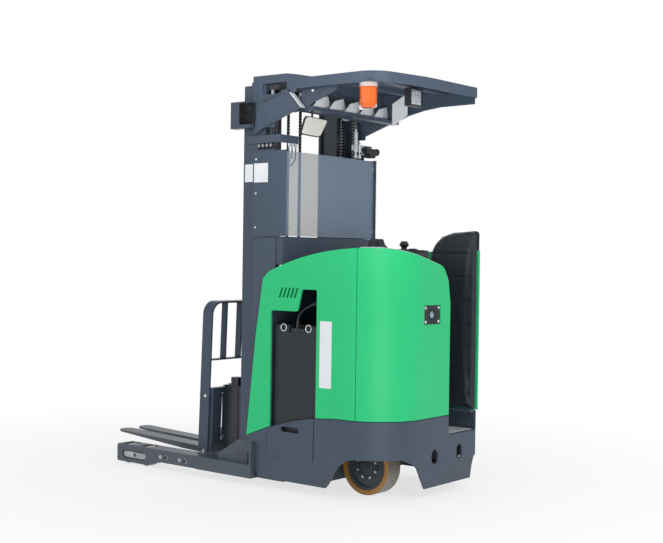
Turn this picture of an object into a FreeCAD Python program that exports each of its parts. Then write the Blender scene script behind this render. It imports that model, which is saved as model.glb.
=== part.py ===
import FreeCAD, Part
import math
import os
import Sketcher

# Stand-up reach truck, millimetres.
# +X points to the fork tips, +Y to the truck's left side, +Z up. The origin lies on the floor,
# midway along the overall length and on the centre line of the base legs.

SIZES = {
    # base legs and load wheels
    "front_end": 890, "leg_proud": 25, "leg_width": 120, "leg_top": 125, "leg_bottom": 45,
    "leg_swell": 10, "leg_swell_end": 150, "leg_back": -312, "toe_clearance": 12,
    "toe_start": 600, "toe_slope_start": 490, "leg_plate": 12,
    "tandem_centre": 727, "tandem_spacing": 171, "load_wheel_radius": 62,
    "load_axle_radius": 12, "rocker_radius": 19, "rocker_plate": 10,
    "pivot_radius": 14, "fit": 0.05, "seat": 0.3,
    "slot_radius": 27, "bay_end": 876, "bay_start": 570, "hanger_half": 12, "hanger_drop": 24,
    "gusset_front": 4, "gusset_low": 156, "gusset_top": 258, "gusset_top_x": -163,
    "gusset_plate": 12, "gusset_block": 16, "ledge_z": 178, "ledge_size": 8,
    "foot_beam": 25, "drive_deck": 392,
    "turret_radius": 112, "caster_deck": 190, "caster_post": 20,
    # body
    "rear_end": -1290, "body_half": 465, "mast_inset": 25, "guard_inset": 10,
    "corner_radius": 310, "wall": 12, "skirt_bottom": 57,
    "skirt_front_low": -336, "skirt_front_high": -240, "skirt_front_top": 293,
    "skirt_low_x": -406, "skirt_low_top": 356, "skirt_mid_x": -585, "skirt_mid_top": 409,
    "skirt_high_x": -746, "skirt_high_top": 442, "skirt_rise_end": -936, "skirt_top": 455,
    "joint_gap": 4,
    "cover_back_x": -305, "cover_back_top": 882, "cover_shoulder_x": -359,
    "cover_shoulder_top": 1240, "cover_crown_start": -1063, "cover_crown": 1426,
    "cover_nose_x": -405, "cover_nose_top": 1284, "cover_mid_x": -640, "cover_mid_top": 1364,
    "cover_seam": -1055,
    "cover_rear_top_a": 1402, "cover_rear_top_b": 1352, "cover_rear_top_c": 1305,
    "entry_left": -141, "entry_sill": 340, "entry_round": 24,
    # battery compartment
    "bay_front_x": -426, "bay_back_x": -776, "bay_low_top": 1054, "bay_step_x": -631,
    "bay_step_back_x": -663, "bay_high_top": 1183,
    "gate_bottom": 194, "gate_front": -411, "gate_back": -763, "gate_proud": 3,
    "battery_top": 970, "battery_bottom": 205, "battery_inset": 8, "battery_depth": 30,
    "eye_z": 955, "eye_radius": 22, "eye_in": 78, "dip_back": -666, "dip_front": -544,
    "dip_depth": 48,
    # drive wheel
    "drive_x": -970, "drive_y": 180, "drive_radius": 165, "drive_width": 115, "tyre_depth": 28,
    "arch_top": 240, "arch_front_x": -866, "arch_rear_y": 98, "slot_low": 188, "slot_high": 272,
    # caster
    "caster_x": -1050, "caster_radius": 75, "caster_width": 48,
    "caster_trail": 38, "caster_split": 34,
    # mast
    "mast_front": -169, "outer_back": -339, "outer_flange": 58,
    "outer_web": 12, "outer_plate": 18, "outer_top": 2396, "stage_gap": 6,
    "middle_width": 50, "middle_web": 8, "middle_plate": 18, "middle_bottom": 131,
    "middle_top": 2428, "inner_width": 50, "inner_web": 8, "inner_plate": 16, "roller_width": 16,
    "roller_stub": 20,
    "inner_back": -319, "inner_bottom": 80, "inner_top": 2446, "stage_beam": 16, "beam_gap": 10,
    "low_beam": 80,
    "cylinder_x": -370, "barrel_radius": 24, "barrel_bore": 18,
    "barrel_top": 2190, "rod_radius": 15, "gland_height": 34, "arm_plate": 8,
    "tie_back": -489, "tie_plate": 12, "tie_height": 76, "frame_arm_z": 560, "panel_low": 1322,
    "panel_high": 1490,
    "head_beam_z": 2240,
    "pulley_x": -414, "pulley_radius": 47, "pulley_width": 26,
    "pulley_z": 2300, "chain_width": 16, "chain_depth": 10, "chain_end_z": 240,
    "crosshead_back": -432, "crosshead_low": 2362,
    # lift carriage, pantograph and fork carriage
    "carriage_side": 16, "carriage_back": -300, "carriage_front": -132,
    "carriage_bottom": 112, "carriage_top": 553, "cross_plate": 20, "carriage_roller_low": 190,
    "carriage_roller_high": 470,
    "arm_x": -14, "arm_z": 185, "arm_half": 175, "arm_angle": 12.5, "arm_width": 58,
    "arm_thick": 20, "arm_pin": 15, "arm_roller": 22,
    "arm_tube": 20, "lug_plate": 14, "track_wall": 12, "track_gap": 0.3, "track_low": 262,
    "arm_clear": 6, "reach_plate": 14, "cheek_ahead": 32, "stop_height": 52, "reach_low": 140,
    "reach_side": 12,
    "tilt_out": 27, "tilt_z": 190, "tilt_angle": 2, "tilt_pin": 14, "tilt_lug": 22,
    "fork_top": 99, "fork_thick": 38,
    "fork_tip_thick": 12, "fork_width": 112, "fork_y": 88, "face_ahead": 139,
    "fork_length": 1010, "shank_top": 527, "hook_depth": 29, "hook_height": 30,
    "rest_half": 352, "rest_bar": 12, "rest_depth": 80, "rest_top": 1080, "rest_bottom": 124,
    "rest_round": 84, "rest_rail_z": 704, "slat_depth": 44, "slat_y": 69,
    "plate_half": 336, "plate_width": 79, "plate_depth": 36, "top_bar_z": 497,
    "top_bar_height": 36, "low_bar_z": 124, "low_bar_height": 70,
    # guard and head
    "guard_top": 2410, "guard_rim": 60, "guard_front": -585,
    "guard_rear_left": -1165, "guard_rear_mid": -1250, "guard_rear_right": -1268,
    "guard_corner": 150, "guard_mid_y": 60, "guard_wall": 8, "guard_sheet": 5, "guard_rib": 26,
    "bracket_plate": 14, "head_plate": 8, "bar_x": -654, "bar_drop": 188, "bar_height": 24,
    "bar_depth": 60, "louvre_count": 5, "louvre_pitch": 148, "louvre_rise": 80,
    "louvre_radius": 386, "louvre_centre": 361, "louvre_turn": 34, "louvre_sheet": 4,
    "screen_low": 1494, "screen_gap": 4,
    "screen_sheet": 6,
    # operator side
    "pad_front": -945, "pad_top": 1543, "pad_bottom": 462, "pad_depth": 42,
    "floor_z": 336, "hood_front": -380, "hood_sheet": 6, "mat_thick": 8,
    "liner_top": 1356, "console_left": 170, "entry_corner": -1133,
    "rest_x": -1060, "rest_y": -110, "rest_length": 130,
    "steer_x": -1156, "steer_y": 60, "steer_radius": 71, "steer_gap": 0.3, "pod_height": 12,
    "grip_x": -906, "grip_y": 60, "lens_y": 46, "lens_z": 1050,
    "mast_cover_front": -250, "cover_drop": 410, "cover_plate": 6,
    "lower_cover_back": -437, "lower_cover_low": 900,
    "beam_back": -455, "beam_front": -206, "head_box_back": -269, "head_box_front": -109,
    "head_box_drop": 273, "head_box_height": 160, "head_front": -245,
    "beacon_x": -1068, "beacon_in": 63, "lamp_x": -1142, "lamp_y": 54,
}


class Size:
    """A length that carries both its number and the expression that gives it."""

    def __init__(self, text, number):
        self.text = text
        self.number = float(number)

    @staticmethod
    def of(other):
        return other if isinstance(other, Size) else Size(repr(float(other)), other)

    def __add__(self, other):
        other = Size.of(other)
        return Size(f"({self.text} + {other.text})", self.number + other.number)

    def __sub__(self, other):
        other = Size.of(other)
        return Size(f"({self.text} - {other.text})", self.number - other.number)

    def __mul__(self, other):
        other = Size.of(other)
        return Size(f"({self.text} * {other.text})", self.number * other.number)

    def __truediv__(self, other):
        other = Size.of(other)
        return Size(f"({self.text} / {other.text})", self.number / other.number)

    def __radd__(self, other):
        return Size.of(other) + self

    def __rsub__(self, other):
        return Size.of(other) - self

    def __rmul__(self, other):
        return Size.of(other) * self

    def __neg__(self):
        return Size(f"(-1 * {self.text})", -self.number)

    def __float__(self):
        return self.number

    def sine(self):
        return Size(f"sin({self.text})", math.sin(math.radians(self.number)))


class Sheet:
    pass


doc = FreeCAD.newDocument("ReachTruck")
sheet = doc.addObject("Spreadsheet::Sheet", "Sizes")
s = Sheet()
for row, (name, number) in enumerate(SIZES.items(), start=1):
    sheet.set(f"A{row}", name)
    sheet.set(f"B{row}", str(number))
    sheet.setAlias(f"B{row}", name)
doc.recompute()
for name in SIZES:
    setattr(s, name, Size(f"Sizes.{name}", sheet.get(name)))

# The widths follow the body's half width. The louvres, the lamp and the fittings at the mast's
# head keep their distance from the guard's top.
s.leg_outer = s.body_half + s.leg_proud
s.leg_inner = s.leg_outer - s.leg_width
s.load_wheel_width = s.leg_width - 54
s.mast_half = s.body_half - s.mast_inset
s.guard_half = s.body_half - s.guard_inset
s.frame_inner = s.mast_half - 40
s.cylinder_y = s.mast_half - 33
s.pulley_y = s.mast_half - 178
s.carriage_half = s.mast_half - 182
s.reach_half = s.carriage_half - 2
s.arm_b_y = s.carriage_half - 80
s.arm_a_y = s.arm_b_y - 28
s.screen_half = s.mast_half
s.bar_half = s.guard_half - 47
s.bar_z = s.guard_top - s.bar_drop
s.lamp_top = s.guard_top - 56
s.beacon_y = s.guard_half - s.beacon_in
s.mast_cover_top = s.guard_top - s.cover_drop
s.screen_high = s.mast_cover_top - s.screen_gap
s.head_box_low = s.guard_top - s.head_box_drop
s.head_box_high = s.head_box_low + s.head_box_height
s.caster_y = 147 - s.body_half

AXIS_TURN = {
    "x": FreeCAD.Rotation(FreeCAD.Vector(0, 1, 0), 90),
    "y": FreeCAD.Rotation(FreeCAD.Vector(1, 0, 0), -90),
    "z": FreeCAD.Rotation(),
}
PLANE_ROLE = {"xy": "XY_Plane", "xz": "XZ_Plane", "yz": "YZ_Plane"}
counter = [0]


def new(kind, stem):
    counter[0] += 1
    return doc.addObject(kind, f"{stem}_{counter[0]}")


def bind(item, prop, size):
    item.setExpression(prop, Size.of(size).text)


def put(item, x=0, y=0, z=0):
    bind(item, ".Placement.Base.x", x)
    bind(item, ".Placement.Base.y", y)
    bind(item, ".Placement.Base.z", z)
    return item


def box(x, y, z):
    """A block between two x, two y and two z values."""
    item = new("Part::Box", "Block")
    bind(item, "Length", Size.of(x[1]) - x[0])
    bind(item, "Width", Size.of(y[1]) - y[0])
    bind(item, "Height", Size.of(z[1]) - z[0])
    return put(item, x[0], y[0], z[0])


def rod(axis, start, radius, length):
    """A cylinder that starts at a point and runs along +x, +y or +z."""
    item = new("Part::Cylinder", "Round")
    item.Placement = FreeCAD.Placement(FreeCAD.Vector(), AXIS_TURN[axis])
    bind(item, "Radius", radius)
    bind(item, "Height", length)
    return put(item, *start)


def cone(axis, start, radius, end_radius, length):
    item = new("Part::Cone", "Taper")
    item.Placement = FreeCAD.Placement(FreeCAD.Vector(), AXIS_TURN[axis])
    bind(item, "Radius1", radius)
    bind(item, "Radius2", end_radius)
    bind(item, "Height", length)
    return put(item, *start)


def prism(plane, corners, span, rounds=None):
    """A pad of a closed outline; rounds gives a radius for the edge at a corner's number."""
    body = new("PartDesign::Body", "Profile")
    sketch = body.newObject("Sketcher::SketchObject", body.Name + "_outline")
    origin = [f for f in body.Origin.OriginFeatures if f.Role == PLANE_ROLE[plane]][0]
    sketch.AttachmentSupport = [(origin, "")]
    sketch.MapMode = "FlatFace"
    corners = [(Size.of(u), Size.of(v)) for u, v in corners]
    count = len(corners)
    for i in range(count):
        a, b = corners[i], corners[(i + 1) % count]
        start = FreeCAD.Vector(a[0].number, a[1].number, 0)
        end = FreeCAD.Vector(b[0].number, b[1].number, 0)
        sketch.addGeometry(Part.LineSegment(start, end))
    for i in range(count):
        sketch.addConstraint(Sketcher.Constraint("Coincident", i, 2, (i + 1) % count, 1))
    for i, (u, v) in enumerate(corners):
        for kind, size in (("DistanceX", u), ("DistanceY", v)):
            number = sketch.addConstraint(Sketcher.Constraint(kind, -1, 1, i, 1, size.number))
            sketch.setExpression(f"Constraints[{number}]", size.text)
    pad = body.newObject("PartDesign::Pad", body.Name + "_pad")
    pad.Profile = sketch
    bind(pad, "Length", Size.of(span[1]) - span[0])
    tip = pad
    for corner, radius in (rounds or {}).items():
        body.recompute(True)
        u, v = corners[corner][0].number, corners[corner][1].number
        axes = {"xy": (0, 1), "xz": (0, 2), "yz": (1, 2)}[plane]
        names = []
        for number, edge in enumerate(tip.Shape.Edges, start=1):
            a, b = edge.Vertexes[0].Point, edge.Vertexes[-1].Point
            near = all(abs(p[axes[0]] - u) < 1e-4 and abs(p[axes[1]] - v) < 1e-4 for p in (a, b))
            if near and edge.Length > 1e-3:
                names.append(f"Edge{number}")
        fillet = body.newObject("PartDesign::Fillet", f"{body.Name}_round_{corner}")
        fillet.Base = (tip, names)
        bind(fillet, "Radius", radius)
        tip = fillet
    body.Tip = tip
    if plane == "xy":
        return put(body, 0, 0, span[0])
    if plane == "xz":
        return put(body, 0, span[1], 0)
    return put(body, span[0], 0, 0)


def fuse(*items):
    if len(items) == 1:
        return items[0]
    item = new("Part::MultiFuse", "Joined")
    item.Shapes = list(items)
    item.Refine = True
    return item


def cut(base, *tools):
    item = new("Part::Cut", "Opened")
    item.Base = base
    item.Tool = fuse(*tools)
    item.Refine = True
    return item


def common(base, tool):
    item = new("Part::MultiCommon", "Kept")
    item.Shapes = [base, tool]
    return item


def mirror(source):
    """The same piece on the other side of the centre line."""
    item = new("Part::Mirroring", "Opposite")
    item.Source = source
    item.Normal = FreeCAD.Vector(0, 1, 0)
    return item


def both(source):
    return fuse(source, mirror(source))


PIECES = []


def piece(label, item):
    item.Label = label
    PIECES.append(item)
    return item


# ---------------------------------------------------------------- base frame and load wheels
def base_leg():
    leg = prism(
        "xz",
        [
            (s.leg_back, s.leg_bottom),
            (s.toe_slope_start, s.leg_bottom),
            (s.toe_start, s.toe_clearance),
            (s.front_end - 6, s.toe_clearance),
            (s.front_end, s.toe_clearance + 10),
            (s.front_end, s.leg_top),
            (s.leg_back, s.leg_top),
        ],
        (s.leg_inner, s.leg_outer),
        rounds={5: 14},
    )
    swell = box(
        (s.leg_back, s.leg_swell_end),
        (s.leg_outer, s.leg_outer + s.leg_swell),
        (s.leg_bottom, s.leg_top),
    )
    bay_y = (s.leg_inner + s.leg_plate, s.leg_outer - s.leg_plate)
    bay = box((s.bay_start, s.bay_end), bay_y, (-10, s.leg_top - s.leg_plate))
    tools = [bay]
    for side in (-1, 1):
        axle_x = s.tandem_centre + side * s.tandem_spacing / 2
        half = s.load_wheel_radius * 0.78
        tools.append(box((axle_x - half, axle_x + half), bay_y, (s.leg_bottom, s.leg_top + 5)))
    half = s.tandem_spacing / 2
    low = s.load_wheel_radius - s.slot_radius
    tools.append(
        box(
            (s.tandem_centre - half, s.tandem_centre + half),
            (s.leg_inner - 5, s.leg_outer + 5),
            (low, low + 2 * s.slot_radius),
        )
    )
    for side in (-1, 1):
        start = (s.tandem_centre + side * half, s.leg_inner - 5, s.load_wheel_radius)
        tools.append(rod("y", start, s.slot_radius, s.leg_outer - s.leg_inner + 10))
    hanger_y = (s.leg_inner + 17, s.leg_outer - 17)
    hanger = box(
        (s.tandem_centre - s.hanger_half, s.tandem_centre + s.hanger_half),
        hanger_y,
        (s.load_wheel_radius - s.hanger_drop, s.leg_top),
    )
    pin = rod(
        "y",
        (s.tandem_centre, s.leg_inner + 6, s.load_wheel_radius),
        s.pivot_radius,
        s.leg_outer - s.leg_inner - 12,
    )
    return fuse(cut(fuse(leg, swell), *tools), hanger, pin)


def mast_foot():
    plate = prism(
        "xz",
        [
            (s.gusset_front, s.leg_top),
            (s.gusset_front, s.gusset_low),
            (s.gusset_top_x, s.gusset_top),
            (s.leg_back + 63, s.gusset_top + 16),
            (s.leg_back + 20, s.gusset_top + 19),
            (s.leg_back, s.gusset_top + 4),
            (s.leg_back, s.leg_top),
        ],
        (s.mast_half, s.mast_half + s.gusset_plate),
    )
    block = box(
        (s.leg_back, s.leg_back + s.gusset_block),
        (s.mast_half, s.leg_outer + s.leg_swell),
        (s.leg_bottom, s.gusset_top + 4),
    )
    y = (s.mast_half + s.gusset_plate, s.mast_half + s.gusset_plate + s.ledge_size)
    ledge_x = s.leg_back + s.gusset_block + 48
    ledge = box((ledge_x, ledge_x + 112), y, (s.ledge_z, s.ledge_z + s.ledge_size))
    post = box((ledge_x, ledge_x + s.ledge_size), y, (s.leg_top, s.ledge_z))
    return fuse(plate, block, ledge, post)


def frame_side():
    """Root of the leg, rail beside the battery and the plates that hold the mast rail."""
    tail = s.bay_front_x + 14
    root = box((tail - 108, s.leg_back), (s.leg_inner, s.mast_half), (s.leg_bottom, s.leg_top))
    rail = box(
        (s.bay_back_x - 10, tail - 108),
        (s.frame_inner, s.mast_half),
        (s.skirt_bottom + 12, s.gate_bottom - 1),
    )
    parts = [root, rail]
    for low in (s.frame_arm_z, s.frame_arm_z + 520):
        parts.append(
            box(
                (tail, s.outer_back),
                (s.mast_half - s.arm_plate, s.mast_half),
                (low, low + s.tie_height),
            )
        )
    return fuse(*parts)


front_wall_top = s.cover_nose_top - s.wall - 11 - s.hood_sheet - s.seat


def chassis_plates():
    tail = s.bay_front_x + 14
    inner = s.body_half - s.wall
    side = inner - s.seat
    foot = box(
        (tail - 108, tail + 20),
        (-1 * s.mast_half, s.mast_half),
        (s.leg_bottom, s.leg_bottom + s.foot_beam),
    )
    front = box((tail, tail + 8), (-1 * side, side), (s.leg_bottom + 20, front_wall_top))
    back_x = s.bay_back_x - 10
    back = box((back_x, back_x + 8), (-1 * side, side), (s.skirt_bottom + 12, front_wall_top))
    floor = box(
        (back_x + 8, tail),
        (-1 * s.mast_half, s.mast_half),
        (s.battery_bottom - 12, s.battery_bottom),
    )
    drive_deck = prism(
        "xy",
        [
            (s.rear_end + s.wall, s.entry_left + s.wall),
            (back_x, s.entry_left + s.wall),
            (back_x, inner),
            (s.rear_end + s.wall, inner),
        ],
        (s.drive_deck, s.drive_deck + 12),
        rounds={3: s.corner_radius - s.wall},
    )
    hole = rod(
        "z", (s.drive_x, s.drive_y, s.drive_deck - 5), s.turret_radius + s.fit, 30
    )
    caster_deck = box(
        (s.rear_end + 50, back_x),
        (-1 * s.mast_half, s.entry_left + s.wall),
        (s.caster_deck, s.caster_deck + 12),
    )
    socket = rod("z", (s.caster_x, s.caster_y, s.caster_deck - 5), s.caster_post + s.fit, 30)
    web = box(
        (s.rear_end + 50, back_x),
        (s.entry_left, s.entry_left + s.wall),
        (s.caster_deck, s.drive_deck + 12),
    )
    return fuse(
        foot,
        front,
        back,
        floor,
        cut(drive_deck, hole),
        cut(caster_deck, socket),
        web,
    )


side = fuse(base_leg(), mast_foot(), frame_side())
piece("base_frame", fuse(side, mirror(side), chassis_plates()))


def leg_bolts():
    heads = []
    for x in (471, 298):
        heads.append(rod("y", (x, s.leg_outer, 82), 13, 4))
        heads.append(rod("y", (x - 46, s.leg_outer, 80), 15, 1.5))
    return fuse(*heads)


def rocker():
    """Two cheeks on the pivot pin and the two axles that join them."""
    z = s.load_wheel_radius
    half = s.tandem_spacing / 2
    cheeks = []
    for y in (s.leg_inner + 6, s.leg_outer - 6 - s.rocker_plate):
        body = [
            box(
                (s.tandem_centre - half, s.tandem_centre + half),
                (y, y + s.rocker_plate),
                (z - s.rocker_radius, z + s.rocker_radius),
            )
        ]
        for end in (-1, 1):
            body.append(rod("y", (s.tandem_centre + end * half, y, z), s.rocker_radius, s.rocker_plate))
        cheeks.append(fuse(*body))
    bore = rod(
        "y", (s.tandem_centre, s.leg_inner, z), s.pivot_radius + s.fit, s.leg_outer - s.leg_inner
    )
    axles = [
        rod(
            "y",
            (s.tandem_centre + end * half, s.leg_inner + 6, z),
            s.load_axle_radius,
            s.leg_outer - s.leg_inner - 12,
        )
        for end in (-1, 1)
    ]
    return fuse(cut(fuse(*cheeks), bore), *axles)


def load_wheel(end):
    x = s.tandem_centre + end * s.tandem_spacing / 2
    z = s.load_wheel_radius
    middle = (s.leg_inner + s.leg_outer) / 2
    hub_half = (s.leg_outer - s.leg_inner) / 2 - 6 - s.rocker_plate - 1
    tread = rod("y", (x, middle - s.load_wheel_width / 2, z), s.load_wheel_radius, s.load_wheel_width)
    hub = rod("y", (x, middle - hub_half, z), s.load_axle_radius + 10, 2 * hub_half)
    bore = rod("y", (x, middle - hub_half - 5, z), s.load_axle_radius + s.fit, 2 * hub_half + 10)
    return cut(fuse(tread, hub), bore)


left_rocker = rocker()
piece("rocker_left", left_rocker)
piece("rocker_right", mirror(left_rocker))
for end, word in ((1, "front"), (-1, "rear")):
    left_wheel = load_wheel(end)
    piece(f"load_wheel_left_{word}", left_wheel)
    piece(f"load_wheel_right_{word}", mirror(left_wheel))


# ---------------------------------------------------------------- drive unit and caster
def drive_unit():
    x, y = s.drive_x, s.drive_y
    inner = y - s.drive_width / 2
    top = 2 * s.drive_radius
    case = box((x - 70, x + 70), (inner - 62, inner - 4), (s.drive_radius - 85, s.drive_deck - 8))
    case_end = rod("y", (x, inner - 62, s.drive_radius), 85, 58)
    axle = rod("y", (x, inner - 4, s.drive_radius), 30, s.drive_width * 0.7)
    bridge = box((x - 70, x + 70), (inner - 4, y + 50), (top + 14, s.drive_deck - 8))
    turret = rod("z", (x, y, s.drive_deck - 8), s.turret_radius, 20)
    flange = rod("z", (x, y, s.drive_deck + 12 + s.seat), s.turret_radius + 24, 12)
    motor = rod("z", (x, y, s.drive_deck + 12), 88, 236)
    brake = rod("z", (x, y, s.drive_deck + 248), 58, 44)
    return fuse(case, case_end, axle, bridge, turret, flange, motor, brake)


def drive_wheel():
    y0 = s.drive_y - s.drive_width / 2
    y1 = s.drive_y + s.drive_width / 2
    rim = s.drive_radius - s.tyre_depth
    disc = rod("y", (s.drive_x, y0, s.drive_radius), rim, s.drive_width - 8)
    dish = rod("y", (s.drive_x, y1 - 24, s.drive_radius), rim - 16, 30)
    hub = rod("y", (s.drive_x, y1 - 40, s.drive_radius), 36, 40)
    cap = rod("y", (s.drive_x, y1 - 6, s.drive_radius), 24, 12)
    bore = rod("y", (s.drive_x, y0 - 5, s.drive_radius), 30 + s.fit, 5 + s.drive_width * 0.7 - 3)
    bolts = []
    for number in range(8):
        bolt = rod("y", (0, 0, 0), 8, 12)
        angle = f"{number} * 45"
        bolt.setExpression(".Placement.Base.x", f"Sizes.drive_x + 68 * cos({angle})")
        bolt.setExpression(".Placement.Base.z", f"Sizes.drive_radius + 68 * sin({angle})")
        bind(bolt, ".Placement.Base.y", y1 - 26)
        bolts.append(bolt)
    return fuse(cut(fuse(cut(disc, dish), hub), bore), cap, *bolts)


def drive_tyre():
    y0 = s.drive_y - s.drive_width / 2
    outside = rod("y", (s.drive_x, y0, s.drive_radius), s.drive_radius, s.drive_width)
    inside = rod(
        "y", (s.drive_x, y0 - 5, s.drive_radius), s.drive_radius - s.tyre_depth, s.drive_width + 10
    )
    return cut(outside, inside)


piece("drive_unit", drive_unit())
piece("drive_wheel", drive_wheel())
piece("drive_tyre", drive_tyre())


def caster_fork():
    x, y, z = s.caster_x, s.caster_y, s.caster_radius
    axle_x = x - s.caster_trail
    top = s.caster_deck - s.seat
    plate = rod("z", (x, y, top - 14), 62, 14)
    post = rod("z", (x, y, top - 14), s.caster_post, 34)
    web = prism(
        "xz",
        [
            (axle_x - 16, z - 20),
            (axle_x + 18, z - 20),
            (x + 50, top - 14),
            (x - 50, top - 14),
        ],
        (y - 8, y + 8),
    )
    reach = s.caster_split / 2 + s.caster_width
    axle = rod("y", (axle_x, y - reach, z), 11, 2 * reach)
    return fuse(plate, post, web, axle)


def caster_wheels():
    axle_x = s.caster_x - s.caster_trail
    wheels = []
    for start in (s.caster_split / 2, -1 * s.caster_split / 2 - s.caster_width):
        place = (axle_x, s.caster_y + start, s.caster_radius)
        bore_place = (axle_x, s.caster_y + start - 5, s.caster_radius)
        wheel = rod("y", place, s.caster_radius, s.caster_width)
        bore = rod("y", bore_place, 11 + s.fit, s.caster_width + 10)
        wheels.append(cut(wheel, bore))
    return fuse(*wheels)


piece("caster_fork", caster_fork())
piece("caster_wheels", caster_wheels())


# ---------------------------------------------------------------- body covers
def body_block(inset, z, front=None):
    """The body's plan: a wide curve at the rear left corner, a small one at the rear right."""
    half = s.body_half - inset
    front = s.skirt_front_high + 20 if front is None else front
    return prism(
        "xy",
        [
            (s.rear_end + inset, -1 * half),
            (front, -1 * half),
            (front, half),
            (s.rear_end + inset, half),
        ],
        z,
        rounds={3: s.corner_radius - inset, 0: 30 - Size.of(inset) / 2},
    )


def skirt_profile(lift, span):
    """Side outline of the dark lower skirt."""
    far = s.rear_end - 40
    return prism(
        "xz",
        [
            (far, s.skirt_bottom),
            (s.skirt_front_low, s.skirt_bottom),
            (s.skirt_front_high, s.skirt_front_top + lift),
            (s.skirt_low_x, s.skirt_low_top + lift),
            (s.skirt_mid_x, s.skirt_mid_top + lift),
            (s.skirt_high_x, s.skirt_high_top + lift),
            (s.skirt_rise_end, s.skirt_top + lift),
            (far, s.skirt_top + lift),
        ],
        span,
    )


def wheel_arch():
    deep = s.rear_end - 60
    side_view = prism(
        "xz",
        [
            (deep, 20),
            (s.arch_front_x + 16, 20),
            (s.arch_front_x + 12, s.skirt_bottom),
            (s.arch_front_x - 5, 74),
            (s.arch_front_x - 32, 114),
            (s.arch_front_x - 57, 161),
            (s.arch_front_x - 86, 198),
            (s.arch_front_x - 134, s.arch_top - 11),
            (s.arch_front_x - 190, s.arch_top),
            (deep, s.arch_top),
        ],
        (20, s.body_half + 30),
    )
    rear_view = prism(
        "yz",
        [
            (s.arch_rear_y, 20),
            (s.arch_rear_y, 57),
            (s.arch_rear_y + 42, 125),
            (s.arch_rear_y + 77, 185),
            (s.arch_rear_y + 117, 215),
            (s.arch_rear_y + 184, s.arch_top),
            (s.body_half + 30, s.arch_top),
            (s.body_half + 30, 20),
        ],
        (s.rear_end - 60, s.arch_front_x + 30),
    )
    return common(side_view, rear_view)


def rear_slot(y, half):
    """Oval hole in the rear of the skirt."""
    x = (s.rear_end - 20, s.rear_end + 40)
    return prism(
        "yz",
        [
            (y - half, s.slot_low),
            (y + half, s.slot_low),
            (y + half, s.slot_high),
            (y - half, s.slot_high),
        ],
        x,
        rounds={n: half - 3 for n in range(4)},
    )


def lower_skirt():
    top = s.skirt_top + 10
    shell = cut(
        body_block(0, (s.skirt_bottom, top)),
        body_block(s.wall, (s.skirt_bottom - 10, top + 10), s.skirt_front_high + 40),
    )
    shell = common(shell, skirt_profile(0, (-1 * s.body_half - 20, s.body_half + 20)))
    gate_hole = box(
        (s.gate_back - s.joint_gap, s.gate_front + s.joint_gap),
        (s.body_half - s.wall - 10, s.body_half + 10),
        (s.gate_bottom - s.seat, s.skirt_top + 60),
    )
    entry = prism(
        "yz",
        [
            (-1 * s.body_half + s.wall, s.entry_sill),
            (s.entry_left, s.entry_sill),
            (s.entry_left, s.skirt_top + 60),
            (-1 * s.body_half + s.wall, s.skirt_top + 60),
        ],
        (s.rear_end - 10, s.rear_end + s.wall + 10),
        rounds={0: s.entry_round, 1: s.entry_round},
    )
    heel = prism(
        "yz",
        [
            (82 - s.body_half, 40),
            (61 - s.body_half, 131),
            (39 - s.body_half, 183),
            (-1 * s.body_half - 10, 204),
            (-1 * s.body_half - 10, 40),
        ],
        (s.rear_end - 10, s.rear_end + 130),
    )
    foot = both(
        box(
            (s.leg_back - s.seat, s.leg_back + s.gusset_block + s.seat),
            (s.body_half - s.wall - 5, s.body_half + 20),
            (20, s.gusset_top + 4 + s.seat),
        )
    )
    leg = both(
        box(
            (s.leg_back - s.seat, s.skirt_front_high),
            (s.body_half - s.wall - 5, s.body_half + 20),
            (20, s.leg_top + s.seat),
        )
    )
    shell = cut(shell, gate_hole, entry, heel, foot, leg)
    return cut(shell, wheel_arch(), rear_slot(-2, 35), rear_slot(-262, 30))


piece("lower_skirt", lower_skirt())


def battery_gate():
    panel = box(
        (s.gate_back, s.gate_front),
        (s.body_half - s.wall, s.body_half + s.gate_proud),
        (s.gate_bottom, s.skirt_top + 60),
    )
    panel = common(panel, skirt_profile(0, (s.body_half - 30, s.body_half + 30)))
    slot = [
        box((-640, -533), (s.body_half - 30, s.body_half + 30), (346, 378)),
        rod("y", (-640, s.body_half - 30, 362), 16, 60),
        rod("y", (-533, s.body_half - 30, 362), 16, 60),
    ]
    return cut(panel, *slot)


piece("battery_gate", battery_gate())


def arch(drop):
    """The rising top edge of the covers, from the nose to the crown."""
    return [
        (s.cover_nose_x, s.cover_nose_top - drop),
        ((s.cover_nose_x + s.cover_mid_x) / 2, (s.cover_nose_top + s.cover_mid_top) / 2 + 5 - drop),
        (s.cover_mid_x, s.cover_mid_top - drop),
        (s.cover_mid_x - 95, s.cover_mid_top + 22 - drop),
        (s.cover_mid_x - 193, s.cover_mid_top + 40 - drop),
        (s.cover_crown_start + 118, s.cover_crown - 9 - drop),
        (s.cover_crown_start, s.cover_crown - drop),
    ]


def cover_profile(drop, span):
    """Side outline of the green covers: raked front edge, arched top."""
    far = s.rear_end - 40
    lift = s.joint_gap
    return prism(
        "xz",
        [
            (far, s.skirt_top + lift),
            (s.skirt_rise_end, s.skirt_top + lift),
            (s.skirt_high_x, s.skirt_high_top + lift),
            (s.skirt_mid_x, s.skirt_mid_top + lift),
            (s.skirt_low_x, s.skirt_low_top + lift),
            (s.skirt_front_high - 2, s.skirt_front_top + lift),
            (s.cover_back_x, s.cover_back_top),
            (s.cover_shoulder_x, s.cover_shoulder_top - drop),
            *arch(drop),
            (far, s.cover_crown - drop),
        ],
        span,
        rounds={8: 40},
    )


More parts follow.
